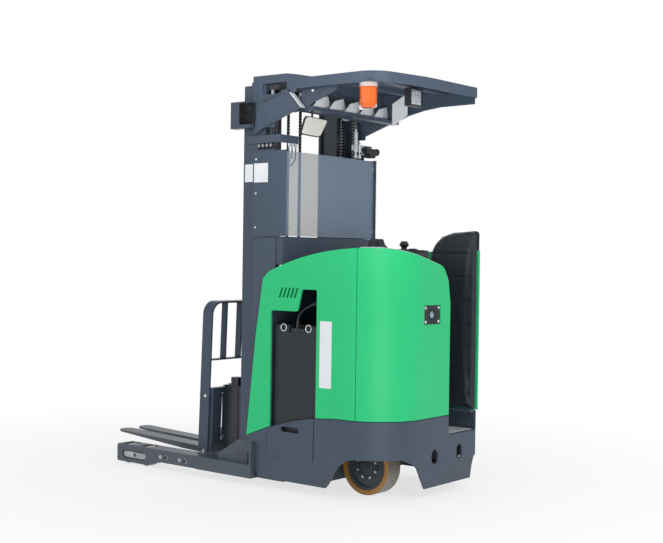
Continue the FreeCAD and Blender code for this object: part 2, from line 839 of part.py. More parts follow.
def cover_shell():
    """Walls with an inward lip along the top edge."""
    z = (s.skirt_front_top - 20, s.cover_crown + 10)
    span = (-1 * s.body_half - 20, s.body_half + 20)
    outside = common(body_block(0, z), cover_profile(0, span))
    hollow = common(
        body_block(s.wall, (s.skirt_front_top - 60, s.cover_crown + 60), s.skirt_front_high + 60),
        cover_void(span),
    )
    mouth = body_block(50, (s.skirt_front_top - 60, s.cover_crown + 60), s.skirt_front_high + 60)
    return cut(outside, hollow, mouth)


def cover_void(span):
    """The space under the lip: the arched top lowered by the wall."""
    far = s.rear_end - 40
    near = s.skirt_front_high + 60
    return prism(
        "xz",
        [
            (far, 200),
            (near, 200),
            (near, s.cover_nose_top - s.wall - 60),
            *arch(s.wall),
            (far, s.cover_crown - s.wall),
        ],
        span,
    )


def battery_opening():
    return prism(
        "xz",
        [
            (s.bay_front_x, 300),
            (s.bay_back_x, 300),
            (s.bay_back_x, s.bay_high_top),
            (s.bay_step_back_x, s.bay_high_top),
            (s.bay_step_x, s.bay_low_top),
            (s.bay_front_x, s.bay_low_top),
        ],
        (s.body_half - 90, s.body_half + 20),
        rounds={2: 12, 3: 14, 4: 14, 5: 16},
    )


def vent(number):
    """One of the five raked slots."""
    x = s.bay_front_x - 58 - number * 29
    return prism(
        "xz",
        [(x, 1132), (x - 14, 1132), (x - 36, 1190), (x - 22, 1190)],
        (s.body_half - 40, s.body_half + 20),
    )


def side_cover():
    reach = box(
        (s.cover_seam + s.joint_gap / 2, s.skirt_front_high + 30),
        (0, s.body_half + 10),
        (200, s.cover_crown + 20),
    )
    vents = [vent(number) for number in range(5)]
    column = box(
        (s.lower_cover_back - 8, s.skirt_front_high + 40),
        (s.mast_half - 50, s.mast_half + s.cover_plate + 1),
        (s.cover_back_top, s.cover_crown + 20),
    )
    return cut(common(cover_shell(), reach), battery_opening(), column, *vents)


def rear_cover():
    keep = prism(
        "yz",
        [
            (s.entry_left, s.skirt_top),
            (s.body_half + 10, s.skirt_top),
            (s.body_half + 10, s.cover_crown + 4),
            (s.body_half - 78, s.cover_crown + 1),
            (s.body_half - 220, s.cover_rear_top_a),
            (38, s.cover_rear_top_b),
            (-62, s.cover_rear_top_c + 22),
            (s.entry_left + 26, s.cover_rear_top_c - 48),
            (s.entry_left, s.cover_rear_top_c - 190),
        ],
        (s.rear_end - 20, s.cover_seam - s.joint_gap / 2),
        rounds={6: 60, 7: 120},
    )
    seat = box(
        (s.rear_end - 10, s.rear_end + s.wall + 10),
        (s.lens_y - 82 - s.seat, s.lens_y + 82 + s.seat),
        (s.lens_z - 54 - s.seat, s.lens_z + 55 + s.seat),
    )
    return cut(common(cover_shell(), keep), seat)


def right_cover():
    panel = box(
        (s.rear_end, s.skirt_front_high + 30),
        (-1 * s.body_half, -1 * s.body_half + s.wall),
        (200, s.cover_crown + 20),
    )
    return common(panel, cover_profile(0, (-1 * s.body_half - 20, 0)))


piece("side_cover", side_cover())
piece("rear_cover", rear_cover())
piece("right_cover", right_cover())


# ---------------------------------------------------------------- battery
battery_face = s.body_half - s.battery_depth


def battery():
    """The battery case, a heavy block that fills its compartment; its top edge dips midway."""
    case = box(
        (s.bay_back_x + s.battery_inset, s.bay_front_x - s.battery_inset),
        (-1 * s.mast_half + 60, battery_face),
        (s.battery_bottom, s.battery_top),
    )
    dip = box(
        (s.dip_back, s.dip_front),
        (battery_face - 60, battery_face + 10),
        (s.battery_top - s.dip_depth, s.battery_top + 10),
    )
    eyes = [
        rod("y", (x, battery_face - 26, s.eye_z), s.eye_radius + s.fit, 40) for x in eye_places
    ]
    return cut(case, dip, *eyes)


def battery_eyes():
    """Bright bushes in the lifting eyes at the top corners of the case."""
    return [
        cut(
            rod("y", (x, battery_face - 24, s.eye_z), s.eye_radius, 25.5),
            rod("y", (x, battery_face - 12, s.eye_z), s.eye_radius - 9, 30),
        )
        for x in eye_places
    ]


def battery_connector():
    """Plug at the bottom of the dip, where the cables come in."""
    x = (s.dip_back + s.dip_front) / 2
    low = s.battery_top - s.dip_depth
    body = box((x - 52, x + 52), (battery_face - 56, battery_face - 8), (low, low + 30))
    lip = box((x - 60, x + 60), (battery_face - 8, battery_face - 2), (low, low + 6))
    return fuse(body, lip)


eye_places = (s.bay_front_x - s.eye_in, s.bay_back_x + s.eye_in + 4)
piece("battery", battery())
piece("battery_fittings", fuse(battery_connector(), *battery_eyes()))


# ---------------------------------------------------------------- mast
def outer_rail():
    """C section, open towards the centre line, with a roller at the top."""
    y0 = s.mast_half - s.outer_flange
    block = box((s.outer_back, s.mast_front), (y0, s.mast_half), (s.leg_top, s.outer_top))
    hollow = box(
        (s.outer_back + s.outer_plate, s.mast_front - s.outer_plate),
        (y0 - 10, s.mast_half - s.outer_web),
        (s.leg_top - 10, s.outer_top + 10),
    )
    x = (s.outer_back + s.mast_front) / 2
    z = s.outer_top - 76
    radius = (s.mast_front - s.outer_back) / 2 - s.middle_plate - s.seat
    y_roll = y0 - s.stage_gap - 2 - s.roller_width
    roll = rod("y", (x, y_roll, z), radius, s.roller_width)
    stub = rod("y", (x, y_roll, z), s.roller_stub, s.mast_half - s.outer_web - y_roll)
    return fuse(cut(block, hollow), roll, stub)


def outer_tie(low, high):
    """A cross plate behind the mast on two side arms."""
    plate = box(
        (s.tie_back, s.tie_back + s.tie_plate),
        (-1 * s.mast_half, s.mast_half),
        (low, high),
    )
    arm = box(
        (s.tie_back, s.outer_back + s.outer_plate),
        (s.mast_half - s.arm_plate, s.mast_half),
        (low, high),
    )
    return fuse(plate, both(arm))


def chain_anchor():
    x = s.pulley_x - s.pulley_radius
    low = s.panel_high - 30
    return box(
        (s.tie_back + s.tie_plate, x - s.chain_depth / 2 - 6),
        (s.pulley_y - 14, s.pulley_y + 14),
        (low, low + 30),
    )


piece(
    "mast_outer",
    fuse(
        both(outer_rail()),
        outer_tie(s.panel_low, s.panel_high),
        outer_tie(s.head_beam_z, s.head_beam_z + s.tie_height),
        both(chain_anchor()),
    ),
)


def i_rail(y0, width, web, plate, back, low, high):
    block = box((back, s.mast_front), (y0, y0 + width), (low, high))
    groove = (width - web) / 2
    tools = [
        box((back + plate, s.mast_front - plate), y, (low - 10, high + 10))
        for y in ((y0 - 10, y0 + groove), (y0 + width - groove, y0 + width + 10))
    ]
    return cut(block, *tools)


def rail_roller(y_web, y_far, x, z, radius):
    """A roller on a stub that stands out of a rail's web, towards +y or -y."""
    low, high = sorted((y_web, y_far), key=float)
    outward = float(y_far) > float(y_web)
    start = y_far - s.roller_width if outward else y_far
    roll = rod("y", (x, start, z), radius, s.roller_width)
    stub = rod("y", (x, low, z), s.roller_stub, high - low)
    return fuse(roll, stub)


middle_y = s.mast_half - s.outer_flange - s.stage_gap - s.middle_width
inner_y = middle_y - s.stage_gap - s.inner_width
stage_x = (s.outer_back + s.mast_front) / 2
inner_x = (s.inner_back + s.mast_front) / 2
inner_beam_back = s.inner_back - s.stage_beam
middle_beam_back = inner_beam_back - s.beam_gap - s.stage_beam


def mast_middle():
    rail = i_rail(
        middle_y,
        s.middle_width,
        s.middle_web,
        s.middle_plate,
        s.outer_back,
        s.middle_bottom,
        s.middle_top,
    )
    web_out = middle_y + (s.middle_width + s.middle_web) / 2
    web_in = middle_y + (s.middle_width - s.middle_web) / 2
    roll_radius = (s.mast_front - s.outer_back) / 2 - s.outer_plate - s.seat
    low_roll = rail_roller(
        web_out,
        s.mast_half - s.outer_web - 4,
        stage_x,
        s.middle_bottom + roll_radius + 6,
        roll_radius,
    )
    inner_radius = (s.mast_front - s.inner_back) / 2 - s.inner_plate - s.seat
    high_roll = rail_roller(
        web_in,
        inner_y + s.inner_width - (s.inner_width - s.inner_web) / 2 + 3,
        inner_x,
        s.middle_top - 76,
        inner_radius,
    )
    beam_z = (s.middle_bottom, s.middle_bottom + s.low_beam)
    arm = box(
        (middle_beam_back, s.outer_back + s.middle_plate),
        (middle_y, middle_y + s.middle_width),
        beam_z,
    )
    beam = box(
        (middle_beam_back, middle_beam_back + s.stage_beam),
        (-1 * middle_y - s.middle_width, middle_y + s.middle_width),
        beam_z,
    )
    head_half = s.cylinder_y + s.rod_radius + 6
    head = box(
        (s.crosshead_back, s.outer_back - 5),
        (-1 * head_half, head_half),
        (s.crosshead_low, s.middle_top),
    )
    head_arm = box(
        (s.outer_back - 5, s.outer_back + s.middle_plate),
        (middle_y, middle_y + s.middle_width),
        (s.crosshead_low, s.middle_top),
    )
    hanger = [
        box(
            (s.pulley_x - 16, s.pulley_x + 16),
            (y, y + 8),
            (s.pulley_z - 20, s.crosshead_low),
        )
        for y in (s.pulley_y - s.pulley_width / 2 - 11, s.pulley_y + s.pulley_width / 2 + 3)
    ]
    pin = rod(
        "y",
        (s.pulley_x, s.pulley_y - s.pulley_width / 2 - 11, s.pulley_z),
        10,
        s.pulley_width + 22,
    )
    return fuse(both(fuse(rail, low_roll, high_roll, head_arm, pin, arm, *hanger)), head, beam)


def mast_inner():
    rail = i_rail(
        inner_y,
        s.inner_width,
        s.inner_web,
        s.inner_plate,
        s.inner_back,
        s.inner_bottom,
        s.inner_top,
    )
    web_out = inner_y + (s.inner_width + s.inner_web) / 2
    roll_radius = (s.mast_front - s.outer_back) / 2 - s.middle_plate - s.seat
    roll = rail_roller(
        web_out,
        middle_y + (s.middle_width - s.middle_web) / 2 - 3,
        stage_x,
        s.inner_bottom + roll_radius + 70,
        roll_radius,
    )
    lows = (
        s.inner_bottom + s.low_beam + 20,
        (s.inner_bottom + s.inner_top) / 2 - s.low_beam,
        s.inner_top - s.low_beam,
    )
    beams = [
        box(
            (inner_beam_back, s.inner_back),
            (-1 * inner_y - s.inner_width, inner_y + s.inner_width),
            (low, low + s.low_beam),
        )
        for low in lows
    ]
    lug = box(
        (s.pulley_x + s.pulley_radius + s.chain_depth / 2 + s.seat, inner_beam_back),
        (s.pulley_y - 8, s.pulley_y + 8),
        (s.chain_end_z - 20, s.chain_end_z + 16),
    )
    return fuse(both(fuse(rail, roll, lug)), *beams)


piece("mast_middle", mast_middle())
piece("mast_inner", mast_inner())


def chain_pulley():
    start = (s.pulley_x, s.pulley_y - s.pulley_width / 2, s.pulley_z)
    wheel = rod("y", start, s.pulley_radius + s.chain_depth / 2 + 4, s.pulley_width)
    groove_y = s.pulley_y - s.chain_width / 2 - 0.5
    outer = rod("y", (s.pulley_x, groove_y, s.pulley_z), s.pulley_radius + 40, s.chain_width + 1)
    core = rod(
        "y",
        (s.pulley_x, groove_y - 5, s.pulley_z),
        s.pulley_radius - s.chain_depth / 2,
        s.chain_width + 11,
    )
    bore = rod(
        "y",
        (s.pulley_x, s.pulley_y - s.pulley_width / 2 - 5, s.pulley_z),
        10 + s.fit,
        s.pulley_width + 10,
    )
    return cut(wheel, cut(outer, core), bore)


def lift_chain():
    """Two straight falls joined by the half turn over the pulley."""
    y = (s.pulley_y - s.chain_width / 2, s.pulley_y + s.chain_width / 2)
    half = s.chain_depth / 2
    front = box(
        (s.pulley_x + s.pulley_radius - half, s.pulley_x + s.pulley_radius + half),
        y,
        (s.chain_end_z, s.pulley_z),
    )
    rear = box(
        (s.pulley_x - s.pulley_radius - half, s.pulley_x - s.pulley_radius + half),
        y,
        (s.panel_high - 28, s.pulley_z),
    )
    over = rod("y", (s.pulley_x, y[0], s.pulley_z), s.pulley_radius + half, s.chain_width)
    core = rod("y", (s.pulley_x, y[0] - 5, s.pulley_z), s.pulley_radius - half, s.chain_width + 10)
    below = box(
        (s.pulley_x - s.pulley_radius - 20, s.pulley_x + s.pulley_radius + 20),
        (y[0] - 5, y[1] + 5),
        (s.pulley_z - 2 * s.pulley_radius, s.pulley_z),
    )
    return fuse(front, rear, cut(over, core, below))


piece("chain_pulleys", both(chain_pulley()))
piece("lift_chains", both(lift_chain()))


def lift_barrel():
    place = (s.cylinder_x, s.cylinder_y, s.leg_top)
    barrel = rod("z", place, s.barrel_radius, s.barrel_top - s.leg_top)
    gland = rod(
        "z",
        (s.cylinder_x, s.cylinder_y, s.barrel_top - s.gland_height),
        s.barrel_radius + 2,
        s.gland_height,
    )
    bore = rod(
        "z",
        (s.cylinder_x, s.cylinder_y, s.leg_top + 40),
        s.barrel_bore,
        s.barrel_top - s.leg_top - 40 - s.gland_height,
    )
    neck = rod(
        "z",
        (s.cylinder_x, s.cylinder_y, s.barrel_top - s.gland_height - 5),
        s.rod_radius + s.fit,
        s.gland_height + 10,
    )
    return cut(fuse(barrel, gland), bore, neck)


def lift_rod():
    low = s.leg_top + 60
    return rod("z", (s.cylinder_x, s.cylinder_y, low), s.rod_radius, s.crosshead_low - low)


piece("lift_cylinders", both(lift_barrel()))
piece("lift_rods", both(lift_rod()))


# ---------------------------------------------------------------- lift carriage and pantograph
track_half = s.arm_roller + s.track_gap + s.track_wall
track_y = s.arm_b_y + s.arm_thick + 8


def track(x, y_far):
    """Two upright walls that guide a roller between them."""
    walls = []
    for start in (x - track_half, x + track_half - s.track_wall):
        walls.append(box((start, start + s.track_wall), (track_y, y_far), (s.track_low, s.carriage_top)))
    return fuse(*walls)


def carriage_side():
    y0 = s.carriage_half - s.carriage_side
    plate = box(
        (s.carriage_back, s.arm_x + track_half),
        (y0, s.carriage_half),
        (s.carriage_bottom, s.carriage_top),
    )
    radius = (s.mast_front - s.inner_back) / 2 - s.inner_plate - s.seat
    y_far = inner_y + (s.inner_width - s.inner_web) / 2 - 2
    rollers = [
        rail_roller(s.carriage_half, y_far, inner_x, z, radius)
        for z in (s.carriage_roller_low, s.carriage_roller_high)
    ]
    lug_y = s.arm_a_y + s.arm_thick + 6
    lug = box(
        (s.carriage_front - 2, s.arm_x),
        (lug_y, lug_y + s.lug_plate),
        (s.arm_z - 28, s.arm_z + 28),
    )
    lug_end = rod("y", (s.arm_x, lug_y, s.arm_z), 28, s.lug_plate)
    pin = rod("y", (s.arm_x, s.arm_a_y + 1, s.arm_z), s.arm_pin, s.arm_thick + 5 + s.lug_plate)
    return fuse(plate, track(s.arm_x, y0), lug, lug_end, pin, *rollers)


def carriage_beams():
    beams = []
    for low, high in ((s.reach_low, 250), (s.carriage_top - 73, s.carriage_top - 8)):
        beams.append(
            box(
                (s.carriage_front - s.cross_plate, s.carriage_front),
                (-1 * s.carriage_half, s.carriage_half),
                (low, high),
            )
        )
    return fuse(*beams)


piece("lift_carriage", fuse(both(carriage_side()), carriage_beams()))


def scissor_arm(y0, bores):
    """A bar along +z from the origin, with round ends and bores on its centre line."""
    half = s.arm_width / 2
    bar = box((-1 * half, half), (y0, y0 + s.arm_thick), (0, 2 * s.arm_half))
    ends = [rod("y", (0, y0, z), half, s.arm_thick) for z in (0, 2 * s.arm_half)]
    item = fuse(bar, *ends)
    holes = [rod("y", (0, y0 - 5, z), s.arm_pin + s.fit, s.arm_thick + 10) for z in bores]
    return cut(item, *holes)


def lean_over(item, x, z, angle, forward=True):
    """Turn a piece about the y axis, top forward or back, and carry it to its pivot."""
    axis = FreeCAD.Vector(0, 1 if forward else -1, 0)
    item.Placement = FreeCAD.Placement(
        FreeCAD.Vector(), FreeCAD.Rotation(axis, float(angle))
    )
    bind(item, ".Placement.Rotation.Angle", angle)
    return put(item, x, 0, z)


def arms_a():
    """Lower end on the lift carriage, upper end with a roller in the reach carriage."""
    arm = scissor_arm(s.arm_a_y, (0,))
    top = 2 * s.arm_half
    centre_pin = rod(
        "y",
        (0, s.arm_a_y + s.arm_thick - 1, s.arm_half),
        s.arm_pin,
        s.arm_b_y + s.arm_thick + 3 - s.arm_a_y - s.arm_thick,
    )
    collar = rod(
        "y",
        (0, s.arm_a_y + s.arm_thick - 1, s.arm_half),
        s.arm_pin + 10,
        s.arm_b_y - s.arm_a_y - s.arm_thick + 1 - s.seat,
    )
    roller_pin = rod(
        "y", (0, s.arm_a_y + s.arm_thick - 1, top), s.arm_pin, track_y - s.arm_a_y - s.arm_thick + 1
    )
    roller = rod("y", (0, track_y, top), s.arm_roller, 26)
    tube = rod("y", (0, -1 * s.arm_a_y - 1, top), s.arm_tube, 2 * s.arm_a_y + 2)
    side = fuse(arm, centre_pin, collar, roller_pin, roller)
    return lean_over(fuse(side, mirror(side), tube), s.arm_x, s.arm_z, s.arm_angle)


def arms_b():
    """Lower end on the reach carriage, upper end with a roller in the lift carriage."""
    arm = scissor_arm(s.arm_b_y, (0, s.arm_half))
    top = 2 * s.arm_half
    far = s.arm_b_y + s.arm_thick - 1
    roller_pin = rod("y", (0, far, top), s.arm_pin, track_y - far)
    roller = rod("y", (0, track_y, top), s.arm_roller, 26)
    tube = rod("y", (0, -1 * s.arm_b_y - 1, 0), s.arm_tube, 2 * s.arm_b_y + 2)
    side = fuse(arm, roller_pin, roller)
    return lean_over(fuse(side, mirror(side), tube), reach_x, s.arm_z, s.arm_angle, False)


reach_x = s.arm_x + 2 * s.arm_half * s.arm_angle.sine()
reach_front = reach_x + s.arm_width / 2 + s.arm_clear + s.reach_plate
tilt_x = reach_front + s.tilt_out
piece("scissor_arms_a", arms_a())
piece("scissor_arms_b", arms_b())


def reach_side():
    y0 = s.reach_half - s.reach_side
    z = (s.reach_low, s.carriage_top)
    plate = box((reach_x - track_half, reach_front + s.cheek_ahead), (y0, s.reach_half), z)
    stop = box(
        (reach_x - track_half, reach_front - 24),
        (track_y, s.reach_half),
        (s.carriage_top, s.carriage_top + s.stop_height),
    )
    boss = rod("y", (reach_x, track_y, s.arm_z), s.arm_width / 2, y0 - track_y)
    pin = rod("y", (reach_x, s.arm_b_y + 2, s.arm_z), s.arm_pin, track_y - s.arm_b_y)
    lug_y = s.reach_half - 60
    lug = box((reach_front - 2, tilt_x), (lug_y, lug_y + 16), (s.tilt_z - 21, s.tilt_z + 21))
    lug_end = rod("y", (tilt_x, lug_y, s.tilt_z), 21, 16)
    bore = rod("y", (tilt_x, lug_y - 5, s.tilt_z), s.tilt_pin + s.fit, 26)
    return fuse(plate, stop, track(reach_x, y0), boss, pin, cut(fuse(lug, lug_end), bore))


def reach_beams():
    beams = []
    for low, high in ((s.reach_low, 250), (s.carriage_top - 73, s.carriage_top - 8)):
        beams.append(
            box(
                (reach_front - s.reach_plate, reach_front),
                (-1 * s.reach_half, s.reach_half),
                (low, high),
            )
        )
    return fuse(*beams)


piece("reach_carriage", fuse(both(reach_side()), reach_beams()))


# ---------------------------------------------------------------- fork carriage, backrest, forks
# These pieces are laid out about the tilt pins and then leaned back by the tilt angle.
shank_back = s.face_ahead - s.fork_thick
bar_front = shank_back - s.hook_depth
bar_back = bar_front - s.plate_depth


def tilted(item):
    return lean_over(item, tilt_x, s.tilt_z, s.tilt_angle, False)


def fork_carriage():
    half = s.rest_half - s.rest_bar
    top = s.top_bar_z - s.tilt_z
    low = s.low_bar_z - s.tilt_z
    top_bar = box((bar_back, bar_front), (-1 * half, half), (top, top + s.top_bar_height))
    low_bar = box((bar_back, bar_front), (-1 * half, half), (low, low + s.low_bar_height))
    upright = box(
        (bar_back, bar_front),
        (s.plate_half - s.plate_width, s.plate_half),
        (low + s.low_bar_height, top),
    )
    lug_y = s.reach_half - 38
    lug = box((0, bar_back), (lug_y, lug_y + 16), (-1 * s.tilt_lug, s.tilt_lug))
    lug_end = rod("y", (0, lug_y, 0), s.tilt_lug, 16)
    pin = rod("y", (0, s.reach_half - 62, 0), s.tilt_pin, 40)
    stay = box((bar_back, bar_front), (-30, 30), (low + s.low_bar_height, top))
    return tilted(fuse(top_bar, low_bar, stay, both(fuse(upright, lug, lug_end, pin))))


def load_backrest():
    low = s.rest_bottom - s.tilt_z
    top = s.rest_top - s.tilt_z
    back = s.face_ahead - s.rest_depth
    half = s.rest_half
    frame = prism(
        "yz",
        [(-1 * half, low), (half, low), (half, top), (-1 * half, top)],
        (back, s.face_ahead),
        rounds={2: s.rest_round, 3: s.rest_round},
    )
    half = half - s.rest_bar
    top = top - s.rest_bar
    inside = prism(
        "yz",
        [(-1 * half, low - 20), (half, low - 20), (half, top), (-1 * half, top)],
        (back - 10, s.face_ahead + 10),
        rounds={2: s.rest_round - s.rest_bar, 3: s.rest_round - s.rest_bar},
    )
    rail_z = s.rest_rail_z - s.tilt_z
    rail = box((back + 8, back + 8 + s.slat_depth), (-1 * half, half), (rail_z, rail_z + 8))
    slats = [
        box(
            (back + 8, back + 8 + s.slat_depth),
            (s.slat_y * n - s.rest_bar / 2, s.slat_y * n + s.rest_bar / 2),
            (rail_z, top),
        )
        for n in (1, 3)
    ]
    return tilted(fuse(cut(frame, inside), rail, both(fuse(*slats))))


def fork():
    top = s.fork_top - s.tilt_z
    low = top - s.fork_thick
    tip = s.face_ahead + s.fork_length
    shank_top = s.shank_top - s.tilt_z
    side_view = prism(
        "xz",
        [
            (shank_back, low),
            (s.face_ahead + s.fork_length * 0.35, low),
            (tip, top - s.fork_tip_thick),
            (tip, top),
            (s.face_ahead, top),
            (s.face_ahead, shank_top),
            (shank_back, shank_top),
        ],
        (s.fork_y - s.fork_width / 2, s.fork_y + s.fork_width / 2),
        rounds={0: 42, 4: 14},
    )
    plan = prism(
        "xy",
        [
            (shank_back - 5, s.fork_y - s.fork_width / 2),
            (tip, s.fork_y - s.fork_width / 2),
            (tip, s.fork_y + s.fork_width / 2),
            (shank_back - 5, s.fork_y + s.fork_width / 2),
        ],
        (low - 5, shank_top + 5),
        rounds={1: s.fork_width * 0.4, 2: s.fork_width * 0.4},
    )
    blade = common(side_view, plan)
    bar_top = s.top_bar_z + s.top_bar_height - s.tilt_z
    bar_low = s.low_bar_z - s.tilt_z
    y = (s.fork_y - s.fork_width / 2 + 8, s.fork_y + s.fork_width / 2 - 8)
    hooks = [
        box((bar_front, shank_back + 2), y, (bar_top - s.hook_height, bar_top + 8)),
        box((bar_front - 14, shank_back + 2), y, (bar_top, bar_top + 8)),
        box((bar_front, shank_back + 2), y, (bar_low, bar_low + s.hook_height)),
    ]
    return fuse(blade, *hooks)


piece("fork_carriage", fork_carriage())
piece("load_backrest", load_backrest())
piece("forks", tilted(both(fork())))


# ---------------------------------------------------------------- operator's place
liner_y = s.entry_left
cell_front = s.bay_back_x - 10
console_top = s.cover_crown - s.wall - 8


def console_plan(z):
    """Outline of the console from above; its rear right corner is cut back to the entry."""
    return prism(
        "xy",
        [
            (s.rear_end + 28, s.console_left),
            (s.rear_end + 28, s.steer_y),
            (s.entry_corner, liner_y),
            (cell_front - 20, liner_y),
            (cell_front - 20, s.console_left),
        ],
        z,
    )


def top_hood():
    """Arched sheet that closes the mouth of the covers over the battery and the drive."""
    z = (s.cover_nose_top - 200, s.cover_crown + 10)
    span = (-1 * s.body_half - 20, s.body_half + 20)
    block = body_block(50 + s.joint_gap / 2, z, s.hood_front)
    sheet = cut(common(block, cover_profile(s.wall + 8, span)), hood_void(span))
    well = prism(
        "xy",
        [
            (s.rear_end - 20, -1 * s.body_half - 20),
            (cell_front, -1 * s.body_half - 20),
            (cell_front, liner_y),
            (s.entry_corner, liner_y),
            (s.rear_end + 28, s.steer_y),
            (s.rear_end - 20, s.steer_y),
        ],
        (s.cover_nose_top - 300, s.cover_crown + 40),
    )
    console = console_plan((s.liner_top + s.seat, console_top))
    apron = prism(
        "xy",
        [
            (s.entry_corner, liner_y),
            (s.entry_corner + 12, liner_y),
            (s.rear_end + 40, s.steer_y),
            (s.rear_end + 28, s.steer_y),
        ],
        (s.cover_rear_top_c - 60 + s.seat, s.liner_top + s.seat),
    )
    return fuse(cut(sheet, well), console, apron)


def hood_void(span):
    far = s.rear_end - 60
    near = s.skirt_front_high + 60
    drop = s.wall + 8 + s.hood_sheet
    return prism(
        "xz",
        [
            (far, 200),
            (near, 200),
            (near, s.cover_nose_top - 120),
            *arch(drop),
            (far, s.cover_crown - drop),
        ],
        span,
    )


def cell_liner():
    """Inner walls of the operator's place: towards the drive and towards the battery."""
    left = box(
        (s.rear_end + s.wall, cell_front),
        (liner_y, liner_y + s.wall),
        (s.drive_deck + 12, s.cover_rear_top_c - 60),
    )
    upper = box(
        (s.rear_end + 200, cell_front),
        (liner_y, liner_y + s.wall),
        (s.cover_rear_top_c - 60, s.liner_top),
    )
    shelf = box(
        (s.rear_end + s.wall, s.rear_end + 200),
        (liner_y, s.steer_y + 60),
        (s.cover_rear_top_c - 68, s.cover_rear_top_c - 60),
    )
    front = box(
        (cell_front, cell_front + 8),
        (-1 * s.body_half + 50 + s.joint_gap, liner_y),
        (front_wall_top + s.seat, s.liner_top),
    )
    return fuse(left, upper, shelf, front)


def platform():
    """Tread plate of the operator's place with its raised lip at the rear step."""
    back = s.rear_end + s.wall + 2
    wall_y = -1 * s.body_half + s.wall + s.seat
    y = (wall_y, liner_y - s.seat)
    plate = box((back, cell_front - s.seat), y, (s.floor_z - 8, s.floor_z))
    lip = box((back, back + 14), y, (s.floor_z - 60, s.floor_z + 9))
    plan = prism(
        "xy",
        [
            (back, wall_y),
            (cell_front, wall_y),
            (cell_front, liner_y),
            (back, liner_y),
        ],
        (s.floor_z - 70, s.floor_z + 20),
        rounds={0: 25},
    )
    struts = [
        box(
            (x, x + 20),
            (s.caster_y - 60, s.caster_y + 60),
            (s.caster_deck + 12, s.floor_z - 8),
        )
        for x in (s.rear_end + 58, s.rear_end + 280)
    ]
    return fuse(common(fuse(plate, lip), plan), *struts)


def floor_mat():
    return box(
        (s.rear_end + s.wall + 22, cell_front - 12),
        (-1 * s.body_half + s.wall + 14, liner_y - 14),
        (s.floor_z + s.seat, s.floor_z + s.seat + s.mat_thick),
    )


def pad_outline(grow, y, low):
    return prism(
        "xz",
        [
            (s.rear_end + 6 - grow, low),
            (s.pad_front + grow, low),
            (s.pad_front + grow, s.pad_top - 148 + grow),
            (s.pad_front - 25 + grow, s.pad_top - 86 + grow),
            (s.pad_front - 76, s.pad_top - 36 + grow),
            (s.pad_front - 160, s.pad_top - 10 + grow),
            (s.pad_front - 310, s.pad_top + grow),
            (s.rear_end + 6 - grow, s.pad_top + grow),
        ],
        y,
        rounds={3: 60, 4: 60, 7: 22},
    )


piece("top_hood", top_hood())
piece("cell_liner", cell_liner())
piece("platform", platform())
piece("floor_mat", floor_mat())
wall_inner = -1 * s.body_half + s.wall
pad_y = (wall_inner + s.seat, wall_inner + s.seat + s.pad_depth)
piece("backrest_pad", pad_outline(0, pad_y, s.pad_bottom))
shell_y = (-1 * s.body_half + 1, wall_inner)
above_cover = box((s.rear_end, s.pad_front + 20), shell_y, (s.cover_crown + s.seat, s.pad_top + 20))
piece("pad_shell", common(pad_outline(0, shell_y, s.pad_bottom), above_cover))


def armrest():
    """Low pad on the console beside the operator."""
    x = (s.rest_x, s.rest_x + s.rest_length)
    pad = box(x, (s.rest_y, s.rest_y + 90), (console_top + 5, console_top + 19))
    foot = box(
        (s.rest_x + 20, s.rest_x + s.rest_length - 20),
        (s.rest_y + 20, s.rest_y + 70),
        (console_top, console_top + 5),
    )
    return fuse(foot, pad)


def steering():
    """Low steering disc in its pod's mouth, with a waisted spinner knob."""
    top = console_top + s.steer_gap
    disc = rod("z", (s.steer_x, s.steer_y, top), s.steer_radius, 14)
    boss = cone("z", (s.steer_x, s.steer_y, top + 14), 34, 20, 8)
    knob_x = s.steer_x + s.steer_radius - 10
    stem = cone("z", (knob_x, s.steer_y, top + 14), 21, 15, 12)
    knob = cone("z", (knob_x, s.steer_y, top + 26), 15, 29, 16)
    crown = cone("z", (knob_x, s.steer_y, top + 42), 29, 17, 22)
    return fuse(disc, boss, stem, knob, crown)


def steering_column():
    """Low square pod around the disc."""
    reach = s.steer_radius + 6
    z = (console_top, console_top + s.pod_height)
    pod = box(
        (s.steer_x - reach, s.steer_x + reach),
        (s.steer_y - reach, s.steer_y + reach),
        z,
    )
    bore = rod("z", (s.steer_x, s.steer_y, console_top - 1), s.steer_radius + 2, 40)
    return cut(common(pod, console_plan(z)), bore)


def control_handle():
    """Palm shaped handle for reach, lift and tilt on its housing."""
    top = console_top
    base = box((s.grip_x - 60, s.grip_x + 58), (s.grip_y - 42, s.grip_y + 42), (top, top + 18))
    grip = prism(
        "xz",
        [
            (s.grip_x + 52, top + 10),
            (s.grip_x + 52, top + 60),
            (s.grip_x + 36, top + 78),
            (s.grip_x - 19, top + 78),
            (s.grip_x - 32, top + 46),
            (s.grip_x - 56, top + 24),
            (s.grip_x - 56, top + 10),
        ],
        (s.grip_y - 26, s.grip_y + 26),
        rounds={1: 12, 2: 10, 3: 10},
    )
    return fuse(base, grip)


piece("armrest", armrest())
piece("steering_column", steering_column())
piece("steering", steering())
piece("control_handle", control_handle())


def rear_lens():
    """Square switch box with a round lens, let into the rear cover."""
    x = (s.rear_end, s.rear_end + 40)
    body = box(x, (s.lens_y - 82, s.lens_y + 82), (s.lens_z - 54, s.lens_z + 55))
    hollow = rod("x", (s.rear_end - 5, s.lens_y, s.lens_z), 36, 13)
    lens = rod("x", (s.rear_end + 2, s.lens_y, s.lens_z), 24, 10)
    return fuse(cut(body, hollow), lens)


piece("rear_lens", rear_lens())


